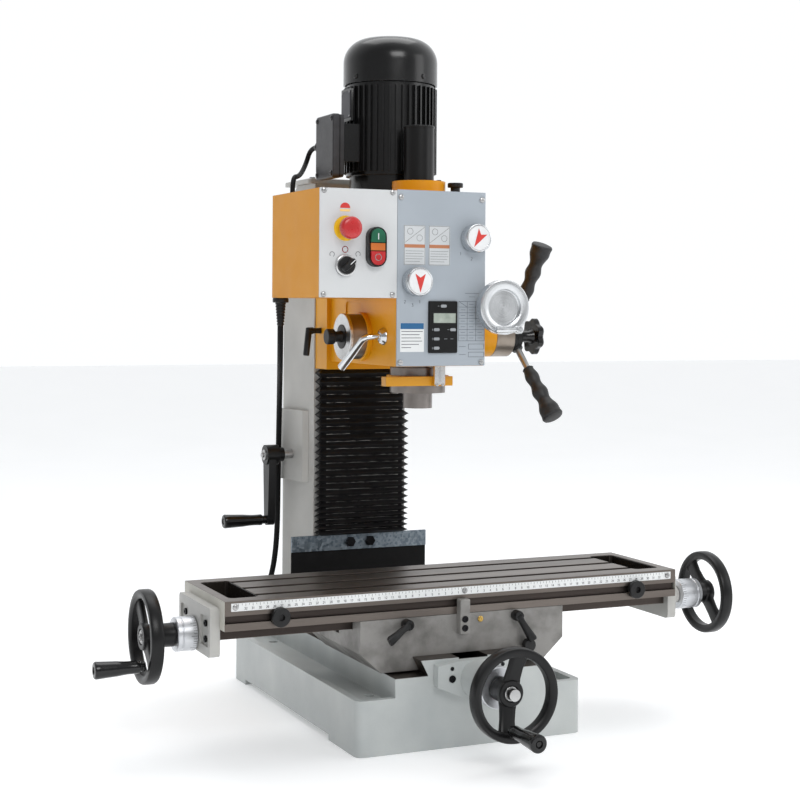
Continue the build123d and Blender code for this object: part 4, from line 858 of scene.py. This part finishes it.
def make_feeds():
    # along the table
    middle = mm(0, TABLE_Y, SCREW_X_Z)
    grip = mm(0, -169.4, 128.3)
    way = (grip - middle).normalized()
    make_dial("x_dial_left", middle - X_AXIS * 363.2 * MM, -X_AXIS, 23.2, 27.6, "x_feed", "x_dials")
    make_dial("x_dial_right", middle + X_AXIS * 409.2 * MM, X_AXIS, 22.5, 36, "x_feed", "x_dials")
    left = middle - X_AXIS * 429 * MM
    make_wheel("x_wheel_left", left, -X_AXIS, way, "x_feed", "x_handwheels", 37)
    right = middle + X_AXIS * 464 * MM
    make_wheel("x_wheel_right", right, X_AXIS, way, "x_feed", "x_handwheels", 18.4)
    make_grip("x_grip", grip - X_AXIS * 438 * MM, -X_AXIS, 68, "x_grip", "x_wheel_grip")
    # across the bed
    make_dial("y_dial_drum", mm(0, -312, SCREW_Y_Z), FRONT, 28, 22, "y_feed", "y_dial", 50)
    way = Vector((-7.5, 0, 51.5 - SCREW_Y_Z)).normalized()
    wheel = mm(0, -374.4, SCREW_Y_Z)
    make_wheel("y_wheel", wheel, FRONT, way, "y_feed", "y_handwheel", 38.4, hub_front=-5.9, dish=-17.4)
    make_grip("y_grip_handle", mm(-7.5, -383.4, 51.5), FRONT, 72.6, "y_grip", "y_wheel_grip", 12)


make_feeds()


# ---------------------------------------------------------------- crank
def make_crank_details():
    axis_y, axis_z = 205.0, 364.0
    lathe("crank_nut", [(0, 0), (8.5, 0), (8.5, 2.2), (7, 2.6), (4.6, 2.6), (4.6, 5.2), (3.8, 6), (0, 6)],
          mm(-140.3, axis_y, axis_z), -X_AXIS, "crank", "steel", 32)
    make_grip("crank_grip_handle", mm(-138.2, axis_y, 260.5), -X_AXIS, 71.5, "crank_grip", "z_crank_grip", 11)


# ---------------------------------------------------------------- saddle
def make_lever(name, node, body, root, tip):
    """A clamping lever: a round boss with a screw, and a flat-sided arm that widens to its tip."""
    way = tip - root
    way.y = 0
    sideways = FRONT.cross(way.normalized())
    bm = bmesh.new()
    boss = [(0, 0), (7, 0), (7.4, 1), (7.4, 12), (6.6, 14), (4, 14.2), (3.6, 12.6), (0, 12.4)]
    lathe_into(bm, boss, root, FRONT, 32)
    sections = []
    for part, half_width, half_depth, out in (
        (0.0, 5.4, 4.2, 10), (0.25, 4.4, 3.8, 12.5), (0.6, 5.2, 4.2, 17), (0.92, 6.6, 4.6, 21),
        (1.0, 5.6, 3.6, 22),
    ):
        centre = root + way * part + FRONT * out * MM
        sections.append((centre, sideways * half_width * MM, FRONT * half_depth * MM))
    loft_into(bm, sections, 3.2, 24)
    add_piece(name, bm, body, "black_plastic", node, 45)


def make_saddle_details():
    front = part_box("saddle_casting")[0].y * 1000
    for side, root, tip in (
        ("left", mm(-89.7, front - 0.1, 168.4), mm(-124, front, 150)),
        ("right", mm(80.2, front - 0.1, 168.6), mm(97, front, 136)),
    ):
        make_lever("gib_lever_" + side, "lock_lever_" + side, "saddle_lever_" + side, root, tip)
    front_slab("index_block", -4.5, 173.8, 15, 48.4, 12, "saddle", "raw_iron", front, 1.2, 0.8)
    places = [mm(-4.9, front - 12, z) for z in (170.8, 158.4)]
    screws("index_block_screws", places, FRONT, 4.6, 1.6, "saddle")
    oiler = [(0, 0), (4.2, 0), (4.2, 0.8), (3, 1.4), (1.6, 1.6), (1.4, 1.1), (0, 1.0)]
    lathe("saddle_oiler", oiler, mm(25, front, 167), FRONT, "saddle", "brass", 24)
    knob = [(0, 0), (5, 0), (5, 4), (9, 4.4), (9.4, 6), (9.4, 12), (8.4, 13.4), (0, 14)]
    lathe("bed_lock_knob", knob, mm(96, front - 3, 127), FRONT, "saddle_knob", "black_plastic", 32,
          "saddle_lock_knob")


# ---------------------------------------------------------------- table
SIDES = (("left", -1), ("right", 1))


def make_table_scale(front):
    """The ruler along the front edge, numbered in centimetres both ways from its middle."""
    front_slab("table_scale", 0, 208.3, 680, 10.6, 0.6, "table", "label_white", front, 0.6, 0.1)
    ticks = []
    figures = []
    for centimetre in range(-33, 34):
        x = centimetre * 10
        ticks += [[(x, 212.9), (x, 209.6)], [(x + 5, 212.9), (x + 5, 210.8)]]
        if centimetre and abs(centimetre) < 33:
            figures += digit_strokes(str(abs(centimetre)), x, 206.3, 1.35)
    marks("table_scale_lines", ticks, front - 0.6, 0.45, "table", "label_ink", 0.08)
    marks("table_scale_figures", figures, front - 0.6, 0.5, "table", "label_ink", 0.08)
    places = [mm(x, front - 0.4, 208.4) for x in (-334, 0, 334)]
    screws("table_scale_screws", places, FRONT, 4.2, 2.4, "table", "steel", "dome")


def make_travel_stops(front):
    """The round stops that clamp in the front groove."""
    stop = [(0, 0), (6, 0), (6, 0.6), (12.4, 0.8), (13, 1.6), (13, 8), (12, 9.2), (4.6, 9.4), (4.4, 5),
            (0, 4.8)]
    for name, x in (("left", -273.0), ("right", 278.0)):
        lathe("travel_stop_" + name, stop, mm(x, front, 192), FRONT, "table", "black_plastic", 48, crease=25)


def make_table_films(front, end):
    """The painted ends, painted shade on the rail's front and in the groove, and a dark glossy film in the
    coolant pockets.
    """
    for name, side in SIDES:
        slab("table_end_paint_" + name, rounded_outline(177.6, 38.6, 0.8), mm(side * end, TABLE_Y, 196.7),
             Y_AXIS * side, Z_AXIS, 0.7, "table", "end_paint", 0.3)
        slab("pocket_film_" + name, rounded_outline(41, 132, 2), mm(side * 314, TABLE_Y, 186),
             X_AXIS, Y_AXIS, 0.5, "table", "dark_glossy_film", 0.2)
        for wall, x, y, width, across in (
            ("front", 314, -66.3, 41, -X_AXIS), ("back", 314, 66.3, 41, X_AXIS),
            ("inner", 293.4, 0, 131, Y_AXIS * side), ("outer", 334.6, 0, 131, -Y_AXIS * side),
        ):
            place = mm(side * x, TABLE_Y + y, 201)
            slab(f"pocket_{wall}_film_{name}", rounded_outline(width, 29, 1), place, across, Z_AXIS, 0.5,
                 "table", "dark_glossy_film", 0.2)
    # painted shade: dark strips on the rail's front and in the front groove stand in for the shade that falls
    # there
    front_slab("rail_front_painted_shade", 0, 169, 694, 15, 0.3, "table", "painted_shade_iron", -199, 0.4, 0.1)
    front_slab("groove_painted_shade", 0, 192, 694, 9.6, 0.3, "table", "painted_shade_iron", front + 5.2, 0.4, 0.1)


def make_table_details():
    low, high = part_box("table_casting")
    make_table_scale(low.y * 1000)
    make_travel_stops(low.y * 1000)
    make_table_films(low.y * 1000, high.x * 1000)
    for name, side in SIDES:
        places = [mm(side * 359.5, TABLE_Y + y, z) for y in (-45, 45) for z in (182, 161)]
        screws("bracket_screws_" + name, places, X_AXIS * side, 4.6, 2.8, "table")


make_crank_details()
make_saddle_details()
make_table_details()


# ---------------------------------------------------------------- bench-side bracket
def make_bracket_details():
    plate = -270.5
    screws("cross_feed_screws", [mm(x, plate, 97.3) for x in (-38.6, 38.6)], FRONT, 5, 1.4, "base")
    screws("cross_feed_pins", [mm(x, plate, 111.2) for x in (-38.7, 38.7)], FRONT, 2.8, 0.6, "base")


# ---------------------------------------------------------------- motor
MOTOR_Y = 36.0


def make_fan_cover_screws():
    centre = mm(0, MOTOR_Y, 950)
    bm = bmesh.new()
    for place in ring_points(centre, 71.9, 4, math.radians(200)):
        lathe_into(bm, [(0, 0), (4, 0), (4, 1.6), (3, 2.6), (0, 2.8)], place, place - centre, 16)
    add_piece("fan_cover_screws", bm, "head", "black_gloss")


def make_rating_plate():
    """The plate that would carry the ratings, left blank, on its pad."""
    x, z = -73.4, 909.0
    slab("rating_plate_pad", rounded_outline(38, 50, 1), mm(-65.8, MOTOR_Y, 908), -Y_AXIS, Z_AXIS, 7.6,
         "head", "black_gloss", 0.4)
    slab("rating_plate", rounded_outline(33, 41, 0.6), mm(x, MOTOR_Y, z), -Y_AXIS, Z_AXIS, 0.8, "head",
         "plate_grey", 0.2)
    rivets = [mm(x - 0.8, MOTOR_Y + dy, z + dz) for dy in (-14.6, 14.6) for dz in (-18.4, 18.4)]
    screws("rating_plate_rivets", rivets, -X_AXIS, 1.7, 0.9, "head", "steel", "dome")


def make_terminal_box_details():
    y, z = 35.0, 843.0
    corners = [mm(-109.2, y + dy, z + dz) for dy in (-29, 29) for dz in (-41, 41)]
    screws("terminal_lid_screws", corners, -X_AXIS, 4, 2, "head", "black_gloss", "dome")
    slab("terminal_box_seal", rounded_outline(71, 95, 6, 6), mm(-97.4, y, z), -Y_AXIS, Z_AXIS, 2.2,
         "head", "rubber")
    gland = [(0, 0), (6.4, 0), (7.4, 1), (7.4, 6), (6.4, 7), (5.6, 8), (5.2, 13), (4, 14), (0, 14)]
    lathe("motor_cable_gland", gland, mm(-102.9, 70, 846.4), Y_AXIS, "head", "black_plastic", 6)


def make_motor_details():
    make_fan_cover_screws()
    make_rating_plate()
    make_terminal_box_details()
    flange = ring_points(mm(0, MOTOR_Y, 767), 68, 4, math.radians(45))
    screws("motor_flange_bolts", flange, Z_AXIS, 5, 7, "head")
    # the drawbar cover's collar and the breather plug on the head
    lip = [(21.7, 0), (23, 0.4), (23, 3), (22.3, 3.6), (21.7, 3.6)]
    lathe("drawbar_cover_lip", lip, mm(0, SPINDLE_Y, 865.6), Z_AXIS, "head", "black_satin", closed_ring=True)
    plug = [(0, 0), (8, 0), (8, 2), (9.6, 2.6), (9.6, 4), (7, 4.6), (7, 11), (11, 11.4), (11.4, 12.4),
            (11.4, 17), (10.6, 18), (0, 18.4)]
    lathe("breather_plug", plug, mm(46, -99, 767), Z_AXIS, "head", "black_plastic", 24)
    ring = ring_points(mm(0, SPINDLE_Y, 787), 31.5, 4, math.radians(45))
    screws("head_ring_screws", ring, Z_AXIS, 3.6, 2.0, "head")


make_bracket_details()
make_motor_details()


# ---------------------------------------------------------------- head panel
def make_speed_selector(name, node, body, x, z, turn):
    """A knurled metal knob, its white face and a red notched arrow turned clockwise from up by degrees."""
    face = -150.1
    bm = bmesh.new()
    teeth = 60
    profile = [(0, 0), (20.4, 0), (20.4, 2.4), (21, 3), (21, 13.6), (20.2, 14.6), (20.2, 17.4), (19.4, 18.6),
               (17.9, 18.9), (17.6, 18.2), (0, 18.2)]
    lathe_into(bm, profile, mm(x, face, z), FRONT, teeth * 2)
    for vertex in bm.verts:
        reach = Vector((vertex.co.x * 1000 - x, vertex.co.z * 1000 - z))
        depth = face - vertex.co.y * 1000
        if abs(reach.length - 21) < 0.05 and 2.9 < depth < 13.7:
            angle = math.atan2(reach.y, reach.x)
            if round(angle / (math.pi / teeth)) % 2:
                vertex.co.x = (x + reach.x / reach.length * 20.3) * MM
                vertex.co.z = (z + reach.y / reach.length * 20.3) * MM
    add_piece(name, bm, body, "aluminium", node, 25)
    lathe(name + "_face", [(0, 0), (17.5, 0), (17.3, 0.5), (0, 0.6)], mm(x, face - 18.2, z), FRONT, body,
          "white_plastic", 64)
    turn = math.radians(turn)
    across = X_AXIS * math.cos(turn) - Z_AXIS * math.sin(turn)
    upward = X_AXIS * math.sin(turn) + Z_AXIS * math.cos(turn)
    bm = bmesh.new()
    size = 15.4
    outline = [(0, size), (-size * 0.52, -size * 0.72), (0, -size * 0.36), (size * 0.52, -size * 0.72)]
    rings = [[bm.verts.new(mm(x, face - height, z) + (across * px + upward * pz) * MM) for px, pz in outline]
             for height in (18.7, 19.05)]
    bridge(bm, rings, capped=False)
    for tip, left, notch, right in rings:
        bm.faces.new([tip, left, notch])
        bm.faces.new([tip, notch, right])
    add_piece(name + "_arrow", bm, body, "red_print")


def make_readout():
    """The depth readout: a raised black frame with a display and oval keys."""
    x, z = 1.5, 573.3
    front_slab("readout_frame", x, z, 45.4, 74.4, 4.0, "head", "black_satin", radius=1.6, edge=0.8)
    face = PANEL_Y - 4.0
    front_slab("readout_bezel", 3.1, 586.2, 38.6, 17.4, 0.5, "head", "black_plastic", face, 0.8, 0.2)
    front_slab("readout_display", 3.1, 586.2, 35, 13.8, 0.8, "head", "glass", face, 0.4, 0.2)
    keys = [(1.5, 603.4), (-9.5, 569.6), (16.5, 569.6), (-9.5, 556.4), (-9.5, 543.2)]
    for index, (key_x, key_z) in enumerate(keys):
        name = f"readout_key_{index + 1}"
        front_slab(name, key_x, key_z, 9.4, 4.4, 0.9, "head", "key_grey", face, 2.1, 0.3)
    strokes = [[(-5.5, 603.4), (-7.5, 603.4)], [(-16, 568.6), (-16, 570.6)], [(8, 569.6), (10.4, 569.6)],
               [(-16, 557.8), (-16, 555)], [(-16, 544.6), (-16, 541.8)], [(3, 556.4), (7.5, 556.4)],
               [(13, 556.4), (17, 556.4)]]
    marks("readout_marks", strokes, face, 0.7, "head", "key_grey", 0.15)


def make_picture_label(number, x):
    """A picture over a brown band and five lines; the picture is two rings and a slash."""
    left, right = x - 16.1, x + 16.1
    for part, z, width, height, thick, finish, radius in (
        ("", 689.9, 33.9, 56.8, 0.4, "label_panel", 1.6),
        ("band_", 688.6, 32.2, 4.9, 0.5, "label_brown", 0.3),
    ):
        name = f"picture_label_{part}{number}"
        front_slab(name, x, z, width, height, thick, "head", finish, radius=radius, edge=0.1)
    strokes = [[(left, 662.3), (right, 662.3), (right, 717.5), (left, 717.5), (left, 662.3)],
               [(left + 1, 693.6), (right - 1, 715.6)]]
    for row in range(5):
        reach = right - 2 - (6 if row == 4 else row % 2 * 2)
        strokes.append([(left + 2, 681.6 - row * 3.7), (reach, 681.6 - row * 3.7)])
    strokes += [arc(left + 9, 709.5, 4.5, 0, 360, 10), arc(right - 8.5, 700.3, 4.5, 0, 360, 10)]
    marks(f"picture_label_rules_{number}", strokes, PANEL_Y - 0.4, 0.45, "head", "label_ink", 0.1)


def make_notice_label():
    """A white label with a blue heading and six lines."""
    x = -46.3
    front_slab("notice_label", x, 558.5, 37.4, 41.4, 0.4, "head", "label_white", radius=0.8, edge=0.1)
    front_slab("notice_label_heading", x, 574.6, 36.6, 8.6, 0.5, "head", "label_blue", radius=0.3, edge=0.1)
    rows = []
    for row in range(6):
        z = 567.0 - row * 4.6
        right = x - 2 if row == 5 else x + 16.4 - (row * 5 % 7)
        rows.append([(x - 16.4, z), (right, z)])
    marks("notice_label_rows", rows, PANEL_Y - 0.4, 0.9, "head", "label_ink", 0.1)


def make_speed_grid():
    """The ruled grid of spindle speeds with a dash in each cell, and two boxed fields below it."""
    left, right, low, high = 27.7, 69.2, 553.5, 610.3
    first_line, second_line = 41.4, 55.3
    rows = [low + (high - low) * k / 7 for k in range(8)]
    grid = [[(left, low), (right, low), (right, high), (left, high), (left, low)]]
    grid += [[(left, z), (right, z)] for z in rows[1:-1]]
    grid += [[(x, low), (x, high)] for x in (first_line, second_line)]
    grid.append([(left, high), (first_line, rows[6])])
    for row in range(6):
        middle = (rows[row] + rows[row + 1]) / 2
        grid += [[(x, middle), (x + 7, middle)] for x in (31, 44.4, 58.3)]
    grid += [[(x, rows[6] + 4), (x + 7, rows[6] + 4)] for x in (44.4, 58.3)]
    for top, bottom in ((548.8, 541.4), (537.0, 530.2)):
        grid.append([(43.6, bottom), (68.5, bottom), (68.5, top), (43.6, top), (43.6, bottom)])
        grid.append([(28.4, (top + bottom) / 2), (39, (top + bottom) / 2)])
    grid += [[(38, 622), (60, 622)], [(44, 617), (54, 617)]]
    marks("speed_grid", grid, PANEL_Y, 0.5, "head", "label_ink", 0.15)


def make_head_panel_details():
    """Screws, speed knobs, readout, and blank generic labels made of outlines, fields and rules."""
    places = [mm(x, PANEL_Y, z) for x in (-64.5, 64.5) for z in (522.7, 757.5)]
    screws("head_panel_screws", places, FRONT, 4.3, 2.6, "head", "steel", "dome")
    make_speed_selector("upper_speed_knob", "speed_knob_upper", "upper_knob", 50.5, 701.6, 212)
    make_speed_selector("lower_speed_knob", "speed_knob_lower", "lower_knob", -42.3, 637.7, 180)
    make_readout()
    make_picture_label(1, -43.1)
    make_picture_label(2, -4.0)
    make_notice_label()
    make_speed_grid()
    positions = []
    for figure, x, z in (
        ("2", -57.8, 609), ("3", -46, 604.6), ("1", -34.6, 609.2), ("1", 30, 679), ("2", 47.8, 672),
    ):
        positions += digit_strokes(figure, x, z, 2.0)
    marks("speed_positions", positions, PANEL_Y, 0.5, "head", "label_ink", 0.15)


make_head_panel_details()


# ---------------------------------------------------------------- control panel
def make_button_tray(x, z):
    """The black housing of the push-buttons: a deep stadium with a rim around a sunk floor."""
    rim, floor = 12.2, 9.0
    levels = [(28.0, 56.3, 0), (28.0, 56.3, rim - 1.2), (25.8, 54.1, rim), (24.6, 52.9, rim),
              (24.2, 52.5, floor)]
    bm = bmesh.new()
    rings = []
    for width, height, depth in levels:
        outline = rounded_outline(width, height, width / 2 - 0.1)
        rings.append([bm.verts.new(mm(x + px, PANEL_Y - depth, z + pz)) for px, pz in outline])
    bridge(bm, rings)
    add_piece("button_housing", bm, "head", "black_plastic", crease=30)


def make_emergency_stop():
    """The red mushroom on its yellow ring, and the half-round sign and yellow strip above it."""
    place = mm(-149.5, PANEL_Y, 711.1)
    ring = [(9, 0), (17.6, 0), (17.8, 0.6), (17.2, 1.9), (9, 2.2)]
    lathe("estop_ring", ring, place, FRONT, "head", "yellow", closed_ring=True)
    mushroom = [(0, 2.4), (8.6, 2.4), (8.8, 10), (14.2, 12.6), (15.6, 15), (15.9, 19), (15.6, 23),
                (14.4, 25.2), (12, 26.2), (6, 26.6), (0, 26.7)]
    lathe("estop_mushroom", mushroom, place, FRONT, "estop", "red", node="estop_button", crease=50)
    half = arc(-150.3, 739.4, 7.6, 0, 180, 20)
    slab("stop_sign", half, mm(0, PANEL_Y, 0), X_AXIS, Z_AXIS, 0.3, "head", "red_print", 0.05)
    marks("stop_sign_strip", [[(-157, 736.2), (-144, 736.2)]], PANEL_Y, 3.2, "head", "yellow_print", 0.2)


def make_push_buttons():
    """The double push-button with its lamp between."""
    x, z = -105.0, 685.8
    make_button_tray(x, z)
    upper = [(11, -6.5), (11, 2)] + arc(0, 2, 11, 0, 180, 14)[1:-1] + [(-11, 2), (-11, -6.5)]
    lower = [(-px, -pz) for px, pz in upper]
    for name, finish, outline, shift in (("start", "green", upper, 12.8), ("stop", "red", lower, -12.8)):
        slab(name + "_push", outline, mm(x, PANEL_Y - 7.5, z + shift), X_AXIS, Z_AXIS, 6, name, finish, 0.5,
             name + "_button")
    front_slab("button_lamp", x, z, 22, 10.4, 3.6, "head", "amber", PANEL_Y - 9, 0.6, 0.3)
    face = PANEL_Y - 13.5
    marks("start_sign", [[(x, z + 10.6), (x, z + 18.6)]], face, 1.3, "start", "white_plastic", 0.15)
    marks("stop_sign_ring", [arc(x, z - 14.6, 4.6, 0, 360, 28)], face, 1.0, "stop", "white_plastic", 0.15)


def make_selector():
    """The forward and reverse selector: a bright ring, a black handle with a white line, and its signs."""
    x, z = -150.0, 659.3
    place = mm(x, PANEL_Y, z)
    ring = [(10, 0), (15.4, 0), (15.6, 0.6), (15.2, 4.6), (14, 5.2), (11.4, 5.2), (10, 4.4)]
    lathe("selector_ring", ring, place, FRONT, "head", "bright_steel", closed_ring=True, crease=25)
    bm = bmesh.new()
    disc = [(0, 4), (12.6, 4), (12.8, 5.2), (12.2, 8.6), (11, 9.6), (0, 9.8)]
    lathe_into(bm, disc, place, FRONT, 48)
    turn = math.radians(48)
    along = X_AXIS * math.sin(turn) + Z_AXIS * math.cos(turn)
    side = along.cross(Y_AXIS)
    sections = []
    for depth, length, wide in ((8, 11.6, 5.0), (13, 11.4, 4.4), (17.6, 11.0, 3.9), (18.8, 10.0, 3.2)):
        centre = place + (FRONT * depth + along * 0.6) * MM
        sections.append((centre, side * wide * MM, along * length * MM))
    loft_into(bm, sections, 4, 24)
    add_piece("selector_handle", bm, "selector", "black_plastic", "selector_knob", 35)
    line = [(x + along.x * reach, z + along.z * reach) for reach in (1.5, 10)]
    marks("selector_line", [line], PANEL_Y - 18.8, 1.2, "selector", "white_plastic", 0.15)
    marks("zero_sign", [arc(-149.9, 681.6, 4.2, 0, 360, 24)], PANEL_Y, 1.1, "head", "red_print", 0.15)
    turn_signs = [arc(-169.6, 674.6, 3.4, -60, 220, 16), arc(-130.5, 675.4, 3.4, -40, 240, 16)]
    marks("turn_signs", turn_signs, PANEL_Y, 0.7, "head", "label_ink", 0.15)


def make_control_details():
    plate = front_slab("control_plate", -129.35, 690.6, 117.9, 152.8, 2, "head", "silver", PANEL_Y + 2,
                       0.8, 0.2)
    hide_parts("control_panel")
    corners = [mm(x, PANEL_Y, z) for x in (-182, -77.5) for z in (618.6, 763.4)]
    screws("control_panel_screws", corners, FRONT, 4.0, 2.5, "head", "steel", "dome")
    make_emergency_stop()
    make_push_buttons()
    make_selector()


make_control_details()


# ---------------------------------------------------------------- quill feed
ROD_ANGLES = (112.2, 232.2, 352.2)
ROD_TILT = math.radians(8.6)
HUB_X = 179.0


def rod_way(angle):
    turn = math.radians(angle)
    outward = Y_AXIS * math.cos(turn) + Z_AXIS * math.sin(turn)
    return outward * math.cos(ROD_TILT) + X_AXIS * math.sin(ROD_TILT)


def add_on_rods(bm, profile, segments):
    """The same turned shape along each of the hub's three rods."""
    for angle in ROD_ANGLES:
        lathe_into(bm, profile, mm(HUB_X, FEED_Y, FEED_Z), rod_way(angle), segments)


def handle_profile():
    """A rubber handle with three soft ribs, flared at its end."""
    profile = [(0, 62), (7.6, 62), (9, 63.4)]
    for step in range(29):
        part = step / 28
        radius = 9.2 + 3.6 * part + 1.5 * math.sin(2 * math.pi * (part * 3 - 0.25)) * (0.7 + 0.5 * part)
        radius += 5.2 * max(0.0, part - 0.8) / 0.2
        profile.append((radius, 64 + 85 * part))
    tip = profile[-1][0]
    return profile + [(tip + 0.3, 151), (tip - 0.8, 153), (tip - 4, 153.8), (0, 154)]


def make_feed_hub():
    drum = [(0, -208), (14, -208), (14, 0), (30.2, 0), (31, 0.8), (31, 30.6), (30, 31.8), (28, 32.7),
            (0, 32.7)]
    place = mm(139.3, FEED_Y, FEED_Z)
    lathe("feed_drum", drum, place, X_AXIS, "feed", "oiled_steel", 72, "feed_hub", crease=25)
    boss = [(0, 0), (24, 0), (25, 1), (25, 6), (21.6, 9), (21.6, 16.4), (20.4, 18), (0, 18)]
    bm = bmesh.new()
    lathe_into(bm, boss, mm(172, FEED_Y, FEED_Z), X_AXIS, 48)
    add_on_rods(bm, [(0, 8), (8.6, 8), (8.6, 25.4), (7.6, 26.6), (0, 26.8)], 24)
    add_piece("feed_boss", bm, "feed", "black_satin", "feed_hub")
    bm = bmesh.new()
    add_on_rods(bm, [(0, 20), (5, 20), (5, 70), (0, 70)], 24)
    add_piece("feed_rods", bm, "feed", "steel", "feed_hub")
    bm = bmesh.new()
    add_on_rods(bm, handle_profile(), 36)
    add_piece("feed_handles", bm, "feed", "grip_rubber", "feed_grips", 60)


def make_clutch_knob():
    """The seven-lobed knob at the end of the hub."""
    place = mm(214.2, FEED_Y, FEED_Z)
    lobes = []
    for step in range(98):
        turn = 2 * math.pi * step / 98
        radius = (26.6 + 2.2 * math.cos(7 * turn)) * 0.99
        lobes.append((radius * math.cos(turn), radius * math.sin(turn)))
    bm = bmesh.new()
    slab_into(bm, lobes, place, Y_AXIS, Z_AXIS, 10, 2.4)
    lathe_into(bm, [(0, -22), (9, -22), (9, -6), (13, 0), (13, 0.5), (0, 0.5)], place, X_AXIS, 40)
    lathe_into(bm, [(0, 9), (15, 9), (15, 10.4), (13, 11.2), (0, 11.4)], place, X_AXIS, 40)
    add_piece("clutch_knob", bm, "clutch", "grip_plastic", "feed_clutch_knob")


def make_spring_housing():
    """The return spring's housing on the left: a painted seat, a steel drum and cover, and a black nut."""
    cover = [(0, 0), (33.8, 0), (34.5, 0.8), (34.5, 4.4), (33.6, 5.4), (14, 5.4), (13.4, 4.8), (12.2, 4.8),
             (11.6, 5.4), (0, 5.4)]
    drum = [(0, 0), (33.4, 0), (33.4, 29), (0, 29)]
    stem = [(0, 0), (18, 0), (18, 1), (9, 1.4), (8, 6), (8, 14), (0, 14)]
    nut = [(0, 0), (10.4, 0), (11.5, 1), (11.5, 11), (10.4, 12), (0, 12)]
    for name, x, finish, segments, node, crease, profile in (
        ("spring_seat", -70, "orange", 72, None, 35, [(0, 0), (36, 0), (36, 6), (35, 7), (0, 7)]),
        ("spring_drum", -70, "oiled_steel", 72, "spring_housing", 35, drum),
        ("spring_cover", -99, "bright_steel", 72, "spring_housing", 25, cover),
        ("spring_stem", -104.2, "black_plastic", 32, None, 35, stem),
        ("spring_nut", -117, "black_plastic", 24, "spring_housing", 35, nut),
    ):
        lathe(name, profile, mm(x, FEED_Y, FEED_Z), -X_AXIS, "head", finish, segments, node, crease=crease)


def make_head_clamp():
    """The lever that clamps the head: a slim bar bent down at its end."""
    bm = bmesh.new()
    stem = [(0, 0), (4.4, 0), (4.4, 12), (5.4, 13), (5.4, 22), (4.4, 23), (0, 23)]
    lathe_into(bm, stem, mm(-77.2, 126, 564), -X_AXIS, 24)
    bend = mm(-97, 126, 564)
    bar = [(0, -5), (5.2, -4), (5.2, 4), (5, 38), (4.2, 39.5), (0, 40)]
    lathe_into(bm, bar, bend, mm(-103, 122, 524) - bend, 24)
    add_piece("head_clamp_lever", bm, "head_lever", "black_plastic", "head_lock_lever")


def make_quill_lock():
    """A bent chromed lever that thickens towards its end, and the boss that it turns in."""
    path = smooth_points("quill_lever_line", [
        mm(-76, -104, 559), mm(-90, -103, 559), mm(-99, -101, 557), mm(-102, -88, 547), mm(-107, -67, 529),
        mm(-112, -47, 513),
    ])
    bm = bmesh.new()
    last = len(path) - 1
    tube_into(bm, path, [(4.2 + 2.0 * (k / last) ** 1.5) * MM for k in range(last + 1)], 20)
    boss = [(0, 0), (13, 0), (13, 1), (11.5, 3), (10, 6), (6, 8), (0, 8)]
    lathe_into(bm, boss, mm(-70.4, -104, 559), -X_AXIS, 40)
    add_piece("quill_lever_bent", bm, "quill_lever", "chrome", "quill_lock_lever", 45)


def make_fine_feed_details():
    """The small disc wheel in front: a dished face with a sunk centre, and its folding handle."""
    disc = [(0, 0), (14, 0), (14, 2), (37.5, 2), (38.9, 3), (39.5, 5), (39.5, 18), (38.6, 19.6), (36.8, 20),
            (27.2, 18.6), (26.2, 18), (25.6, 13.6), (24.4, 12.6), (0, 12.4)]
    lathe("fine_feed_disc", disc, mm(FINE_FEED_X, -162, FINE_FEED_Z), FRONT, "fine_wheel", "turned_face", 96,
          "fine_feed_wheel", crease=25)
    bm = bmesh.new()
    hinge = mm(106.1, -186.4, 569.7)
    pin = [(0, -7), (4.6, -7), (4.6, -5.5), (5.6, -5), (5.6, 4), (4.6, 5), (2, 5.2), (1.8, 4), (0, 4)]
    lathe_into(bm, pin, hinge, FRONT, 32)
    handle = [(0, 2), (3.6, 2), (3.8, 8), (4.4, 20), (5.2, 32), (5.0, 36.4), (4.0, 37.6), (0, 37.8)]
    lathe_into(bm, handle, hinge, -X_AXIS, 32)
    add_piece("fine_feed_fold_handle", bm, "fine_handle", "aluminium", "fine_feed_handle")


make_feed_hub()
make_clutch_knob()
make_spring_housing()
make_head_clamp()
make_quill_lock()
make_fine_feed_details()


# ---------------------------------------------------------------- depth scale under the panel
def make_depth_scale():
    front_slab("depth_scale", 7.05, 505, 16.6, 31, 0.8, "quill_group", "bright_steel", -131.0, 0.6, 0.2)
    ticks = [[(5.4, 494 + 1.6 * k), (5.4 + (4.4 if k % 5 == 0 else 2.8), 494 + 1.6 * k)] for k in range(14)]
    marks("depth_scale_lines", ticks, -131.8, 0.3, "quill_group", "label_ink", 0.08)
    screws("depth_scale_screws", [mm(x, -131.6, 490) for x in (2.6, 11.6)], FRONT, 2.6, 1.8, "quill_group",
           "steel", "dome")


make_depth_scale()
